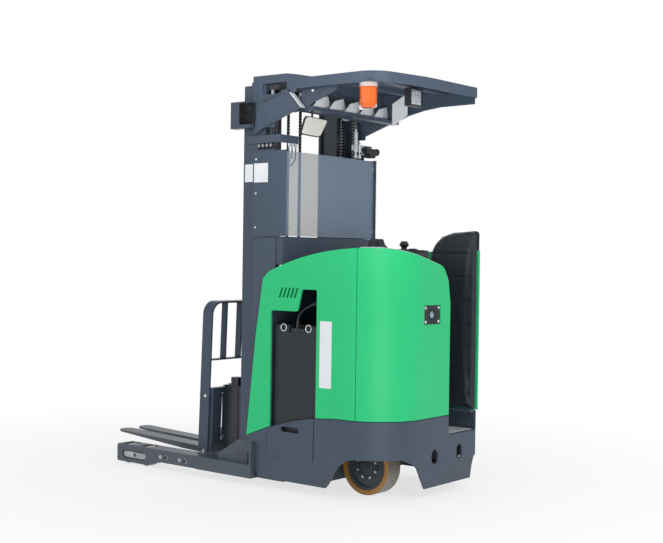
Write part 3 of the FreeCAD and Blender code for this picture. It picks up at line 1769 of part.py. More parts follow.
# ---------------------------------------------------------------- mast head, guard and fittings
def mast_cover():
    """Upper and lower plates over the outer rail, with their screws."""
    y = (s.mast_half, s.mast_half + s.cover_plate)
    back = s.tie_back - s.seat - s.screen_sheet - 17
    upper = box((back, s.mast_cover_front), y, (s.screen_low - 2, s.mast_cover_top))
    front = s.mast_cover_front - 14
    step_x = s.bay_front_x + 28
    lower = prism(
        "xz",
        [
            (s.lower_cover_back, front_wall_top + 4),
            (step_x, front_wall_top + 4),
            (step_x, s.lower_cover_low),
            (front, s.lower_cover_low),
            (front, s.screen_low - 14),
            (s.lower_cover_back, s.screen_low - 14),
        ],
        y,
    )
    screws = [
        rod("y", (sx, s.mast_half, z), 8, s.cover_plate + 3)
        for sx in (s.mast_cover_front - 27, s.tie_back + 26)
        for z in (s.screen_low + 50, s.mast_cover_top - 49)
    ]
    middle = rod(
        "y",
        (s.mast_cover_front - 27, s.mast_half, (s.screen_low + s.mast_cover_top) / 2),
        8,
        s.cover_plate + 3,
    )
    strip = box(
        (s.mast_cover_front - 165, s.mast_cover_front - 30),
        (s.mast_half, s.mast_half + 2),
        (s.mast_cover_top - 5, s.mast_cover_top + 46),
    )
    return fuse(upper, lower, strip, middle, *screws)


def blank_plates():
    face = s.mast_half + s.cover_plate
    small = box(
        (s.mast_cover_front + s.seat, s.mast_front - 12),
        (s.mast_half, s.mast_half + 2),
        (s.mast_cover_top - 182, s.mast_cover_top - 76),
    )
    large = box(
        (s.mast_cover_front - 121, s.mast_cover_front - 11),
        (face, face + 2),
        (s.mast_cover_top - 187, s.mast_cover_top - 73),
    )
    return fuse(small, large)


def tie_beam():
    """Bar above the bright nuts that turns in behind the rail."""
    y0 = s.mast_half
    z = (s.mast_cover_top + 46, s.mast_cover_top + 93)
    side = box((s.beam_back, s.beam_front), (y0, y0 + 12), z)
    rear = box((s.beam_back - 12, s.beam_back), (s.pulley_y + 22, y0 + 12), z)
    return fuse(side, rear)


def head_valve():
    """Valve body behind the mast's right corner, seated on the tie bar."""
    x = s.beam_back - 12 - s.seat
    y = -1 * s.mast_half - 24
    z = s.mast_cover_top + 55
    barrel = rod("y", (x - 33, y, z), 20, 138)
    collars = [rod("y", (x - 33, start, z), 23, 12) for start in (y, y + 126)]
    block = box((x - 48, x), (y + 34, y + 92), (z - 40, z + 6))
    return fuse(barrel, block, *collars)


def head_nuts():
    z = s.mast_cover_top + 31
    nuts = [
        rod("y", (s.mast_cover_front - 52 - n * 31, s.mast_half + 2, z), 10, 12) for n in range(4)
    ]
    return fuse(*nuts)


def head_box():
    """Hollow box on the outside of the mast head, open to the side and to the rear."""
    x = (s.head_box_back, s.head_box_front)
    y = (s.mast_half + s.head_plate, s.mast_half + s.head_plate + 50)
    z = (s.head_box_low, s.head_box_high)
    outside = box(x, y, z)
    hollow = box(
        (s.head_box_back - 10, s.head_box_front - 69),
        (y[0] + 5, y[1] + 5),
        (z[0] + 22, z[1] - 8),
    )
    return cut(outside, hollow)


def head_plates():
    y = (s.mast_half, s.mast_half + s.head_plate)
    plate = prism(
        "xz",
        [
            (s.head_front, s.head_box_low),
            (s.head_front, s.guard_top + 38),
            (s.guard_front + 76, s.guard_top + 36),
            (s.guard_front + s.seat, s.guard_top + 24),
            (s.guard_front + s.seat, s.guard_top - 76),
            (s.guard_front + 66, s.guard_top - 84),
            (s.guard_front + 165, s.guard_top - 210),
            (s.guard_front + 165, s.head_box_low),
        ],
        y,
    )
    window = box(
        (s.guard_front + 74, s.guard_front + 264),
        (y[0] - 5, y[1] + 5),
        (s.guard_top - 77, s.guard_top - 12),
    )
    bolt = rod("y", (s.head_front - 21, s.mast_half, s.guard_top - 70), 17, s.head_plate + 3)
    return fuse(cut(plate, window), bolt)


def guard_bracket():
    y = (s.mast_half + s.head_plate, s.mast_half + s.head_plate + s.bracket_plate)
    plate = prism(
        "xz",
        [
            (s.guard_front + 265, s.guard_top - 122),
            (s.guard_front + 66, s.guard_top - 56),
            (s.guard_front - 46, s.guard_top - 173),
            (s.guard_front + 191, s.guard_top - 254),
            (s.guard_front + 319, s.guard_top - 309),
            (s.guard_front + 303, s.guard_top - 220),
        ],
        y,
        rounds={0: 12, 1: 12, 2: 8},
    )
    inner = prism(
        "xz",
        [
            (s.guard_front + 255, s.guard_top - 135),
            (s.guard_front + 70, s.guard_top - 74),
            (s.guard_front - 21, s.guard_top - 169),
            (s.guard_front + 191, s.guard_top - 240),
        ],
        (y[0], y[1] + 3),
    )
    return fuse(plate, inner)


piece("mast_covers", both(mast_cover()))
piece("blank_plates", blank_plates())
piece("bright_fasteners", both(fuse(head_nuts(), leg_bolts())))
piece("head_boxes", both(head_box()))
piece("head_valve", head_valve())
piece("head_brackets", both(fuse(head_plates(), guard_bracket(), tie_beam())))


def guard_plan(inset, z):
    """Roof outline from above: a wide rear left corner that runs on into a long gentle curve."""
    return prism(
        "xy",
        [
            (s.guard_front - inset, s.guard_half - inset),
            (s.guard_rear_left + inset, s.guard_half - inset),
            (s.guard_rear_mid + inset, s.guard_mid_y),
            (s.guard_rear_right + inset, -1 * s.guard_half + inset),
            (s.guard_front - inset, -1 * s.guard_half + inset),
        ],
        z,
        rounds={1: s.guard_corner - inset, 2: 900 - inset, 3: 22},
    )


def guard_roof():
    low = s.guard_top - s.guard_rim
    shell = cut(
        guard_plan(Size.of(0), (low, s.guard_top)),
        guard_plan(s.guard_wall, (low - 10, s.guard_top - s.guard_sheet)),
    )
    rib_z = (s.guard_top - s.guard_sheet - s.guard_rib, s.guard_top - s.guard_sheet)
    ribs = [
        box((x, x + 36), (-1 * s.guard_half + s.guard_wall, s.guard_half - s.guard_wall), rib_z)
        for x in (s.guard_front - 250, s.guard_front - 470)
    ]
    right_wall = prism(
        "xz",
        [
            (s.guard_rear_right + 24, low + 5),
            (s.guard_rear_right + 24, low - 36),
            (s.guard_front - 412, low - 38),
            (s.guard_front - 290, low - 52),
            (s.guard_front - 166, low - 78),
            (s.guard_front - 50, low - 123),
            (s.guard_front - 50, low + 5),
        ],
        (-1 * s.guard_half, -1 * s.guard_half + s.guard_wall),
    )
    shelf = box(
        (s.beacon_x - 60, s.beacon_x + 60),
        (s.beacon_y - 60, s.guard_half - 4),
        (low, low + 6),
    )
    lamp_bar = box(
        (s.lamp_x - 6, s.lamp_x + 6),
        (s.lamp_y - 16, s.lamp_y + 16),
        (s.lamp_top - 10, s.guard_top - s.guard_sheet),
    )
    fairing = prism(
        "xz",
        [
            (s.guard_front, s.guard_top - 1),
            (s.guard_front, s.guard_top + 24),
            (s.guard_front - 125, s.guard_top - 1),
        ],
        (s.mast_half, s.mast_half + s.head_plate),
    )
    return fuse(shell, right_wall, shelf, lamp_bar, both(fairing), *ribs)


piece("guard_roof", guard_roof())


def louvre_cheek():
    top = s.guard_top - s.guard_sheet - s.seat
    return prism(
        "xz",
        [
            (s.guard_front - s.guard_wall - 2, top),
            (s.guard_front - s.guard_wall - 2, s.bar_z + 6),
            (s.bar_x + 22, s.bar_z),
            (s.bar_x - 20, s.bar_z + 42),
            (s.bar_x - 92, s.bar_z + 64),
            (s.bar_x - 202, s.bar_z + 107),
            (s.bar_x - 202, top - s.guard_rib),
            (s.guard_front - 213, top - s.guard_rib),
            (s.guard_front - 213, top),
        ],
        (s.bar_half, s.bar_half + 6),
    )


def crossbar():
    """Bar under the fins, from the left cheek to the guard's right wall."""
    return box(
        (s.bar_x - s.bar_depth / 2, s.bar_x + s.bar_depth / 2),
        (s.guard_wall + s.seat - s.guard_half, s.bar_half),
        (s.bar_z, s.bar_z + s.bar_height),
    )


def louvre(number):
    """One bright fin: a curved sheet on the bar, its left edge further back than its right."""
    low = s.bar_z + s.bar_height
    left = s.bar_half - 4 - number * s.louvre_pitch
    width = 2 * (s.bar_half - 4) - (s.louvre_count - 1) * s.louvre_pitch
    outline = prism(
        "yz",
        [
            (left, low),
            (left - width, low),
            (left - width * 0.75, low + s.louvre_rise),
            (left - width * 0.25, low + s.louvre_rise * 0.66),
        ],
        (s.bar_x - s.bar_depth, s.bar_x + s.bar_depth),
        rounds={3: 30},
    )
    centre = (s.bar_x + s.louvre_centre, left - s.louvre_turn, low - 5)
    rise = s.louvre_rise + 10
    outer = rod("z", centre, s.louvre_radius, rise)
    inner = rod("z", centre, s.louvre_radius - s.louvre_sheet, rise)
    return common(cut(outer, inner), outline)


piece("guard_crossbar", fuse(louvre_cheek(), crossbar()))
piece("guard_louvres", fuse(*[louvre(number) for number in range(int(float(s.louvre_count)))]))


def pale_panel():
    y = -1 * s.guard_half + s.guard_wall
    return prism(
        "xz",
        [
            (s.guard_front - 52, s.guard_top - 66),
            (s.guard_front - 130, s.guard_top - 12),
            (s.guard_front - 157, s.guard_top - 120),
            (s.guard_front - 54, s.guard_top - 159),
        ],
        (y + s.seat, y + s.seat + 5),
        rounds={1: 14, 2: 14},
    )


def beacon():
    low = s.guard_top - s.guard_rim
    base = rod("z", (s.beacon_x, s.beacon_y, low - 22), 52, 22)
    dome = rod("z", (s.beacon_x, s.beacon_y, low - 118), 49, 96)
    cap = rod("z", (s.beacon_x, s.beacon_y, low - 138), 42, 20)
    return fuse(base, dome, cap)


def work_lamp():
    z = (s.lamp_top - 105, s.lamp_top)
    body = box((s.lamp_x - 22, s.lamp_x + 22), (s.lamp_y - 61, s.lamp_y + 61), z)
    recess = box((s.lamp_x - 30, s.lamp_x - 14), (s.lamp_y - 53, s.lamp_y + 53), (z[0] + 8, z[1] - 8))
    lens = box((s.lamp_x - 17, s.lamp_x - 12), (s.lamp_y - 53, s.lamp_y + 53), (z[0] + 8, z[1] - 8))
    slot = box(
        (s.lamp_x - 6 - s.seat, s.lamp_x + 6 + s.seat),
        (s.lamp_y - 16 - s.seat, s.lamp_y + 16 + s.seat),
        (z[1] - 10 - s.seat, z[1] + 10),
    )
    return fuse(cut(body, recess, slot), lens)


def mirror_plate():
    plate = prism(
        "yz",
        [
            (s.bar_half + 42, s.bar_z - 32),
            (s.bar_half - 156, s.bar_z - 37),
            (s.bar_half - 174, s.bar_z - 51),
            (s.bar_half - 91, s.bar_z - 151),
            (s.bar_half + 90, s.bar_z - 146),
        ],
        (s.bar_x - 9, s.bar_x + 3),
        rounds={0: 22, 1: 10, 3: 24, 4: 18},
    )
    stem = rod("z", (s.bar_x - 3, s.bar_half - 21, s.bar_z - 62), 7, 62)
    return fuse(plate, stem)


piece("pale_panel", pale_panel())
piece("beacon", beacon())
piece("work_lamp", work_lamp())
piece("mirror", mirror_plate())
piece(
    "mast_screen",
    box(
        (s.tie_back - s.seat - s.screen_sheet, s.tie_back - s.seat),
        (-1 * s.screen_half, s.screen_half),
        (s.screen_low, s.screen_high),
    ),
)


# ---------------------------------------------------------------- checks and export
doc.recompute()
faults = [item.Label for item in doc.Objects if {"Invalid", "Error"} & set(item.State)]
for item in PIECES:
    if item.Shape.isNull() or not item.Shape.isValid() or not item.Shape.Solids:
        faults.append(item.Label)
if faults:
    raise SystemExit("failed: " + ", ".join(faults))
os.makedirs("parts", exist_ok=True)
for item in PIECES:
    item.Shape.exportStep(f"parts/{item.Label}.step")
    print(f"{item.Label}: {len(item.Shape.Solids)} solids, {item.Shape.Volume / 1e6:.3f} litres")
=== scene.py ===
import math

import bmesh
import bpy
from mathutils import Matrix, Vector


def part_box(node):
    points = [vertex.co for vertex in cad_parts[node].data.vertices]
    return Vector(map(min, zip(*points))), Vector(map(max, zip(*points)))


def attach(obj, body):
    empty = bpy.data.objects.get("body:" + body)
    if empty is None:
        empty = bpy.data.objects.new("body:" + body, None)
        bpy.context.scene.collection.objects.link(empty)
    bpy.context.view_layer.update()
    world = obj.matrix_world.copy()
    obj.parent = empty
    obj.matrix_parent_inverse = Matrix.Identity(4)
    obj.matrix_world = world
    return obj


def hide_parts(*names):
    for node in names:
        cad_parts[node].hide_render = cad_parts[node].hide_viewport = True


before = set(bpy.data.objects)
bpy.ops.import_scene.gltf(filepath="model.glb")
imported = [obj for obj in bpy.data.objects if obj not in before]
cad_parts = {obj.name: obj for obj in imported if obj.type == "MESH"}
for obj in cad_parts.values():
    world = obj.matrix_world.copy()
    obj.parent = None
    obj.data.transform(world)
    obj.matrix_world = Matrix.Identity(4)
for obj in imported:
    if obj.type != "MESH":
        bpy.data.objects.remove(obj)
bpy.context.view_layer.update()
scene = bpy.context.scene
scene.view_settings.view_transform = "Standard"

WHITE = (1.0, 1.0, 1.0, 1.0)
DUST_HEIGHT = 0.55  # road dust fades out at this height
CHAIN_PITCH = 0.019
MAST_COVER_Y = 0.4490  # outer face of the mast covers
TIE_BAR_HOSES_Y = 0.300  # the first of three hoses, the others at HOSE_STEP
HOSE_STEP = 0.032
WHEEL_FACE = 0.2235  # y of the drive wheel's outer face
BATTERY_LEADS = (0.272, 0.289)  # lengths along the route
MAST_HOSES = (0.252, 0.208, 0.168)


# ------------------------------------------------------------------ colour and material helpers
def srgb(code):
    """A hex colour as linear RGBA."""
    parts = [int(code[i : i + 2], 16) / 255 for i in (0, 2, 4)]
    line = [c / 12.92 if c <= 0.04045 else ((c + 0.055) / 1.055) ** 2.4 for c in parts]
    return (*line, 1.0)


def add(tree, kind, sockets=None, **settings):
    """Adds a node; a socket takes a number, a colour or another node's output."""
    node = tree.nodes.new("ShaderNode" + kind)
    for name, value in settings.items():
        setattr(node, name, value)
    for name, value in (sockets or {}).items():
        socket = node.inputs[name]
        if isinstance(value, bpy.types.NodeSocket):
            tree.links.new(value, socket)
        else:
            socket.default_value = value
    return node


def start(name):
    """An empty material, its node tree and Object coordinates."""
    material = bpy.data.materials.new(name)
    material.use_nodes = True
    tree = material.node_tree
    tree.nodes.clear()
    return material, tree, add(tree, "TexCoord").outputs["Object"]


def closed(material, shader):
    """Joins a shader to the material's output."""
    add(material.node_tree, "OutputMaterial", {"Surface": shader.outputs[0]})
    return material


def surfaced(material, sockets):
    """Closes a material with one Principled shader."""
    return closed(material, add(material.node_tree, "BsdfPrincipled", sockets))


def blend(tree, factor, first, second):
    """A colour between two others."""
    mix = add(tree, "Mix", {"Factor": factor, "A": first, "B": second}, data_type="RGBA")
    return mix.outputs["Result"]


def noise(tree, place, scale, detail, rough=0.5):
    """Fractal noise, about 0 to 1."""
    sockets = {"Vector": place, "Scale": scale, "Detail": detail, "Roughness": rough}
    return add(tree, "TexNoise", sockets).outputs["Fac"]


def remap(tree, value, source=(0.0, 1.0), target=(0.0, 1.0)):
    """Carries a value from one range onto another and holds it at both ends."""
    sockets = {"Value": value, "From Min": source[0], "From Max": source[1]}
    sockets.update({"To Min": target[0], "To Max": target[1]})
    return add(tree, "MapRange", sockets).outputs[0]


def calc(tree, operation, *values):
    """The result of one Math node."""
    return add(tree, "Math", dict(enumerate(values)), operation=operation).outputs[0]


def softened(tree, radius):
    """A normal that rounds every edge to a radius."""
    return add(tree, "Bevel", {"Radius": radius}, samples=4).outputs[0]


def relief(tree, height, strength, distance, normal=None):
    """A normal bumped by a height, over another normal when one is given."""
    sockets = {"Height": height, "Strength": strength, "Distance": distance}
    if normal is not None:
        sockets["Normal"] = normal
    return add(tree, "Bump", sockets).outputs[0]


def painted_steel(name, colour, worn, rough=0.38, edge=0.35, coat=0.08, dust=0.10):
    """Powder coat: a faint orange peel, cloudy gloss, and rubbed corners where hands and
    pallets reach."""
    material, tree, place = start(name)
    cloud = noise(tree, place, 2.6, 4.0, 0.55)
    tone = blend(tree, cloud, srgb(colour), srgb(worn))
    height = add(tree, "SeparateXYZ", {"Vector": place}).outputs["Z"]
    low = remap(tree, height, (0.0, DUST_HEIGHT), (dust, 0.0))
    dusty = calc(tree, "MULTIPLY", low, noise(tree, place, 22.0, 5.0, 0.7))
    tone = blend(tree, dusty, tone, srgb("9a948a"))
    # corner mask: the softened normal departs from the flat one only near an edge
    flat = add(tree, "NewGeometry").outputs["Normal"]
    turn = add(tree, "VectorMath", {0: softened(tree, 0.004), 1: flat}, operation="DOT_PRODUCT")
    corner = remap(tree, turn.outputs["Value"], (0.995, 0.80), (0.0, edge))
    chips = remap(tree, noise(tree, place, 90.0, 3.0), (0.50, 0.66))
    tone = blend(tree, calc(tree, "MULTIPLY", corner, chips), tone, srgb("8d9196"))
    grain = noise(tree, place, 420.0, 1.0)
    return surfaced(
        material,
        {
            "Base Color": tone,
            "Roughness": remap(tree, cloud, target=(rough - 0.06, rough + 0.08)),
            "Normal": relief(tree, grain, 0.12, 0.0006, softened(tree, 0.0018)),
            "Coat Weight": coat,
            "Coat Roughness": 0.22,
            "Specular IOR Level": 0.30,
        },
    )


def bright_metal(name, colour, rough=0.28, along="z", grit=0.08, metal=1.0, dull="7c7f84"):
    """Turned or rolled steel: fine lines along one way and a little cloud in the gloss."""
    material, tree, place = start(name)
    across, ahead = 700.0, 12.0
    stretch = {"y": (across, ahead, across), "z": (across, across, ahead)}[along]
    lines = add(tree, "Mapping", {"Vector": place, "Scale": stretch}).outputs[0]
    brush = noise(tree, lines, 1.0, 2.0)
    cloud = noise(tree, place, 9.0, 5.0)
    return surfaced(
        material,
        {
            "Base Color": blend(tree, cloud, srgb(colour), srgb(dull)),
            "Metallic": metal,
            "Roughness": remap(tree, cloud, target=(rough - 0.08, rough + 0.14)),
            "Normal": relief(tree, brush, grit, 0.0005, softened(tree, 0.0015)),
        },
    )


def moulded_plastic(name, colour, rough=0.5, depth=0.15, coat=0.0):
    """Injection moulded ABS: a leathery spark texture and pale scuffs."""
    material, tree, place = start(name)
    leather = add(tree, "TexVoronoi", {"Vector": place, "Scale": 260.0}, feature="SMOOTH_F1")
    scuff = noise(tree, place, 14.0, 6.0, 0.7)
    rub = remap(tree, scuff, (0.52, 0.75), (0.0, 0.14))
    distance = leather.outputs["Distance"]
    return surfaced(
        material,
        {
            "Base Color": blend(tree, rub, srgb(colour), srgb("8b8f94")),
            "Roughness": remap(tree, scuff, target=(rough - 0.08, rough + 0.12)),
            "Normal": relief(tree, distance, depth, 0.0008, softened(tree, 0.002)),
            "Coat Weight": coat,
        },
    )


def cast_urethane(name, side, tread, node):
    """Cast polyurethane: translucent looking sides and a grey, scrubbed tread."""
    material, tree, place = start(name)
    low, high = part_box(node)
    centre = [(a + b) / 2 for a, b in zip(low, high)]
    radius = (high[2] - low[2]) / 2
    local = add(tree, "Mapping", {"Vector": place, "Location": tuple(-c for c in centre)})
    axes = add(tree, "SeparateXYZ", {"Vector": local.outputs[0]}).outputs
    flat = add(tree, "CombineXYZ", {"X": axes["X"], "Z": axes["Z"]})
    reach = add(tree, "VectorMath", {0: flat.outputs[0]}, operation="LENGTH").outputs["Value"]
    scrub = noise(tree, place, 60.0, 6.0, 0.7)
    worn = blend(tree, scrub, srgb(tread), srgb("5d5a55"))
    stain = blend(tree, scrub, srgb(side), srgb("8a6a3c"))
    return surfaced(
        material,
        {
            "Base Color": blend(
                tree, remap(tree, reach, (radius * 0.968, radius * 0.992)), stain, worn
            ),
            "Roughness": 0.42,
            "Normal": relief(tree, scrub, 0.25, 0.001),
            "Subsurface Weight": 0.15,
            "Subsurface Radius": (0.02, 0.01, 0.004),
        },
    )


def clear_sheet():
    """Polycarbonate sheet, a little smoky, with fine wipe marks."""
    material, tree, place = start("polycarbonate_sheet")
    wipe = add(tree, "Mapping", {"Vector": place, "Scale": (2.0, 30.0, 220.0)})
    marks = noise(tree, wipe.outputs[0], 1.0, 4.0)
    gloss = remap(tree, marks, (0.45, 0.8), (0.06, 0.22))
    tint = blend(tree, marks, srgb("8fa5c1"), srgb("9aafca"))
    haze = add(tree, "BsdfPrincipled", {"Base Color": tint, "Roughness": gloss})
    clear = add(tree, "BsdfTransparent", {"Color": srgb("fcf5e6")})
    mixed = add(tree, "MixShader", {0: 0.45, 1: clear.outputs[0], 2: haze.outputs[0]})
    return closed(material, mixed)


def vinyl():
    """Calendered vinyl over foam: a pebbled hide grain and a soft sheen."""
    material, tree, place = start("vinyl_upholstery")
    pebble = add(tree, "TexVoronoi", {"Vector": place, "Scale": 330.0}, feature="DISTANCE_TO_EDGE")
    crease_relief_and_shade = noise(tree, place, 26.0, 6.0, 0.6)
    folds = relief(tree, crease_relief_and_shade, 0.18, 0.004)
    return surfaced(
        material,
        {
            # the colour follows the fold relief, darker in the fold hollows: painted shade
            "Base Color": blend(tree, crease_relief_and_shade, srgb("121920"), srgb("1f2831")),
            "Roughness": remap(tree, crease_relief_and_shade, target=(0.42, 0.62)),
            "Normal": relief(tree, pebble.outputs["Distance"], 0.2, 0.0006, folds),
            "Sheen Weight": 0.2,
            "Specular IOR Level": 0.45,
        },
    )


def ribbed_rubber():
    """Ribbed rubber matting, ribs 12 mm apart, grey with tread dust; both greys are lightened with
    painted light, for the light that falls on the platform floor.
    """
    material, tree, place = start("ribbed_rubber")
    ribs = add(
        tree,
        "TexWave",
        {"Vector": place, "Scale": 26.0, "Distortion": 0.0},
        wave_type="BANDS",
        bands_direction="X",
        wave_profile="SIN",
    )
    dust = noise(tree, place, 12.0, 6.0)
    return surfaced(
        material,
        {
            # pale greys: tread dust at random, and painted light over the whole mat
            "Base Color": blend(tree, dust, srgb("a9abab"), srgb("d4d5d3")),
            "Roughness": 0.75,
            "Normal": relief(tree, ribs.outputs["Fac"], 0.8, 0.003),
        },
    )


def leaf_chain():
    """Oiled leaf chain: bright plate ends, and at every pitch along the fall a dark band of
    painted shade for the gap between them.
    """
    material, tree, place = start("oiled_leaf_chain")
    height = add(tree, "SeparateXYZ", {"Vector": place}).outputs["Z"]
    part = calc(tree, "FRACT", calc(tree, "MULTIPLY", height, 1 / CHAIN_PITCH))
    # dark band of painted shade where the gap between plate ends lies
    gap_shade = remap(tree, part, (0.36, 0.46))
    tone = blend(tree, gap_shade, srgb("7d8186"), srgb("17191c"))
    return surfaced(material, {"Base Color": tone, "Metallic": 0.85, "Roughness": 0.38})


def beacon_lens():
    """Ribbed acrylic dome under a pale base; the ribs run up the lens."""
    material, tree, place = start("beacon_acrylic")
    low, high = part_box("beacon")
    base_depth, rib_count = 0.022, 28.0
    height = add(tree, "SeparateXYZ", {"Vector": place}).outputs["Z"]
    base = calc(tree, "GREATER_THAN", height, high[2] - base_depth)
    centre = (-(low[0] + high[0]) / 2, -(low[1] + high[1]) / 2, 0.0)
    local = add(tree, "Mapping", {"Vector": place, "Location": centre})
    axes = add(tree, "SeparateXYZ", {"Vector": local.outputs[0]}).outputs
    angle = calc(tree, "ARCTAN2", axes["Y"], axes["X"])
    ribs = calc(tree, "SINE", calc(tree, "MULTIPLY", angle, rib_count))
    return surfaced(
        material,
        {
            "Base Color": blend(tree, base, srgb("e4640c"), srgb("c9c2bf")),
            "Roughness": 0.22,
            "Normal": relief(tree, ribs, 0.5, 0.002),
            "Subsurface Weight": 0.35,
            "Subsurface Radius": (0.03, 0.012, 0.004),
            "Coat Weight": 0.4,
        },
    )


def label_stock():
    """Blank vinyl label stock with a faint change of tone."""
    material, tree, place = start("blank_label_vinyl")
    tone = blend(tree, noise(tree, place, 30.0, 3.0), srgb("f4f5f6"), srgb("e4e7ea"))
    return surfaced(material, {"Base Color": tone, "Roughness": 0.35, "Coat Weight": 0.3})


def silvered_glass():
    """Convex mirror: bright silvering with a faint wipe haze."""
    material, tree, place = start("silvered_mirror")
    gloss = remap(tree, noise(tree, place, 16.0, 3.0), target=(0.03, 0.12))
    return surfaced(
        material, {"Base Color": srgb("f3efe6"), "Metallic": 0.6, "Roughness": gloss}
    )


GREEN = painted_steel(
    "green_powder_coat", "28cc80", "23c378", rough=0.42, edge=0.06, coat=0.14, dust=0.0
)
BODY = painted_steel("slate_powder_coat", "465262", "3f4a5a", rough=0.42)
LIGHT = painted_steel("blue_grey_powder_coat", "4a5768", "434f5f")
LEGS = painted_steel("leg_powder_coat", "46525f", "3f4a57", edge=0.6, dust=0.2, coat=0.2)
INNER = painted_steel("mast_black_paint", "20252d", "2b3038", rough=0.35, edge=0.25, coat=0.35)
FORKS = painted_steel(
    "forged_fork_enamel", "3c434d", "474e58", rough=0.32, edge=0.7, dust=0.2, coat=0.4
)
BATTERY = painted_steel("battery_enamel", "25292d", "2b3034", rough=0.45, edge=0.5)
HUB = painted_steel("hub_enamel", "3a4148", "474e56", rough=0.40, edge=0.3)
STEEL = bright_metal("ground_steel", "c6cacf", rough=0.24)
ZINC = bright_metal("zinc_plated_screw", "eceef0", rough=0.22, metal=0.7, dull="c2c6ca")
# Near white and barely metallic: painted reflection of the bright sky on the louvres; also used,
# pale with painted light, for the bracket flange and the sill strip.
LOUVRE = bright_metal(
    "stainless_with_painted_reflection", "f2f4f6", rough=0.34, along="y", grit=0.05, metal=0.15, dull="dde1e4"
)
# Pale blue metal: a painted blue-white highlight on the rear lens.
GLASS = bright_metal("lens_glass_painted_highlight", "a9c4dc", rough=0.10, metal=0.8, dull="6f8fae")
FACETS = bright_metal(
    "vacuum_metalised_reflector", "dfe2e6", rough=0.22, metal=0.5, dull="8a9097"
)
BLACK = moulded_plastic("moulded_abs_black", "1b1f25")
HOOD = moulded_plastic("moulded_hood_grey", "272d35", rough=0.55)
# Near black for painted shade in recesses: lifting eyes, the switch well, head boxes and nut rows.
RECESS_SHADE = moulded_plastic("black_painted_recess_shade", "0b0d10", rough=0.75, depth=0.05)
PIPING = moulded_plastic("grey_edge_piping", "b3b8bc", rough=0.42, depth=0.05)
CABLE = moulded_plastic("black_cable_jacket", "15181c", rough=0.38, depth=0.05, coat=0.2)
HOSE = moulded_plastic("grey_hose_cover", "6f7780", rough=0.42, depth=0.08, coat=0.1)
VINYL = vinyl()
RUBBER = ribbed_rubber()
CHAIN = leaf_chain()
SCREEN = clear_sheet()
BEACON = beacon_lens()
LABEL = label_stock()
MIRROR = silvered_glass()
DRIVE = cast_urethane("amber_urethane", "d2902f", "b0a896", "drive_tyre")
CASTER = cast_urethane("caster_urethane", "4d4a46", "5a5752", "caster_wheels")

FINISH = {
    "base_frame": LEGS,
    "lower_skirt": BODY,
    "battery_gate": BODY,
    "side_cover": GREEN,
    "rear_cover": GREEN,
    "right_cover": GREEN,
    "battery": BATTERY,
    "battery_fittings": BLACK,
    "bright_fasteners": STEEL,
    "mast_outer": BODY,
    "mast_middle": INNER,
    "mast_inner": INNER,
    "chain_pulleys": STEEL,
    "lift_chains": CHAIN,
    "lift_rods": STEEL,
    "lift_cylinders": INNER,
    "lift_carriage": INNER,
    "scissor_arms_a": INNER,
    "scissor_arms_b": INNER,
    "reach_carriage": INNER,
    "fork_carriage": BODY,
    "load_backrest": BODY,
    "forks": FORKS,
    "drive_unit": HUB,
    "drive_wheel": HUB,
    "drive_tyre": DRIVE,
    "steering": BLACK,
    "steering_column": BLACK,
    "caster_fork": HUB,
    "caster_wheels": CASTER,
    "rocker_left": STEEL,
    "rocker_right": STEEL,
    "top_hood": HOOD,
    "cell_liner": HOOD,
    "platform": BODY,
    "floor_mat": RUBBER,
    "backrest_pad": VINYL,
    "pad_shell": BLACK,
    "armrest": VINYL,
    "control_handle": BLACK,
    "head_valve": BLACK,
    "rear_lens": BLACK,
    "mast_covers": LIGHT,
    "blank_plates": LABEL,
    "head_boxes": BODY,
    "head_brackets": LIGHT,
    "guard_roof": LIGHT,
    "guard_crossbar": BODY,
    "guard_louvres": LOUVRE,
    "pale_panel": LABEL,
    "beacon": BEACON,
    "work_lamp": BLACK,
    "mirror": MIRROR,
    "mast_screen": SCREEN,
}
for word in ("left_front", "left_rear", "right_front", "right_rear"):
    wheel = "load_wheel_" + word
    FINISH[wheel] = cast_urethane("load_urethane_" + word, "d8cbb0", "b7ad98", wheel)

for name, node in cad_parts.items():
    node.data.materials.clear()
    node.data.materials.append(FINISH[name])


# ------------------------------------------------------------------ pieces beyond the CAD solids
def piece(name, bm, slot, material, body="chassis", smooth=False):
    """Turns a bmesh into a piece that rides on a body."""
    bmesh.ops.recalc_face_normals(bm, faces=bm.faces)
    mesh = bpy.data.meshes.new(name)
    bm.to_mesh(mesh)
    bm.free()
    for face in mesh.polygons:
        face.use_smooth = smooth
    item = bpy.data.objects.new(name, mesh)
    scene.collection.objects.link(item)
    item.data.materials.append(material)
    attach(item, body)
    return item


def aim(at, direction):
    """Places something so that its Z runs along a direction."""
    return Matrix.Translation(at) @ Vector(direction).to_track_quat("Z", "Y").to_matrix().to_4x4()


def screw(bm, at, direction, radius, height):
    """A cheese head with a chamfer and a socket; at is the middle of its seat."""
    ahead = Vector(direction).normalized()
    sides = 18
    made = bmesh.ops.create_cone(
        bm,
        cap_ends=True,
        segments=sides,
        radius1=radius,
        radius2=radius * 0.84,
        depth=height,
        matrix=aim(Vector(at) + ahead * height / 2, ahead),
    )
    ends = {f for v in made["verts"] for f in v.link_faces if len(f.verts) == sides}
    crown = max(ends, key=lambda f: f.calc_center_median().dot(ahead))
    bmesh.ops.inset_region(bm, faces=[crown], thickness=radius * 0.40)
    bmesh.ops.inset_region(bm, faces=[crown], thickness=radius * 0.06, depth=-height * 0.5)


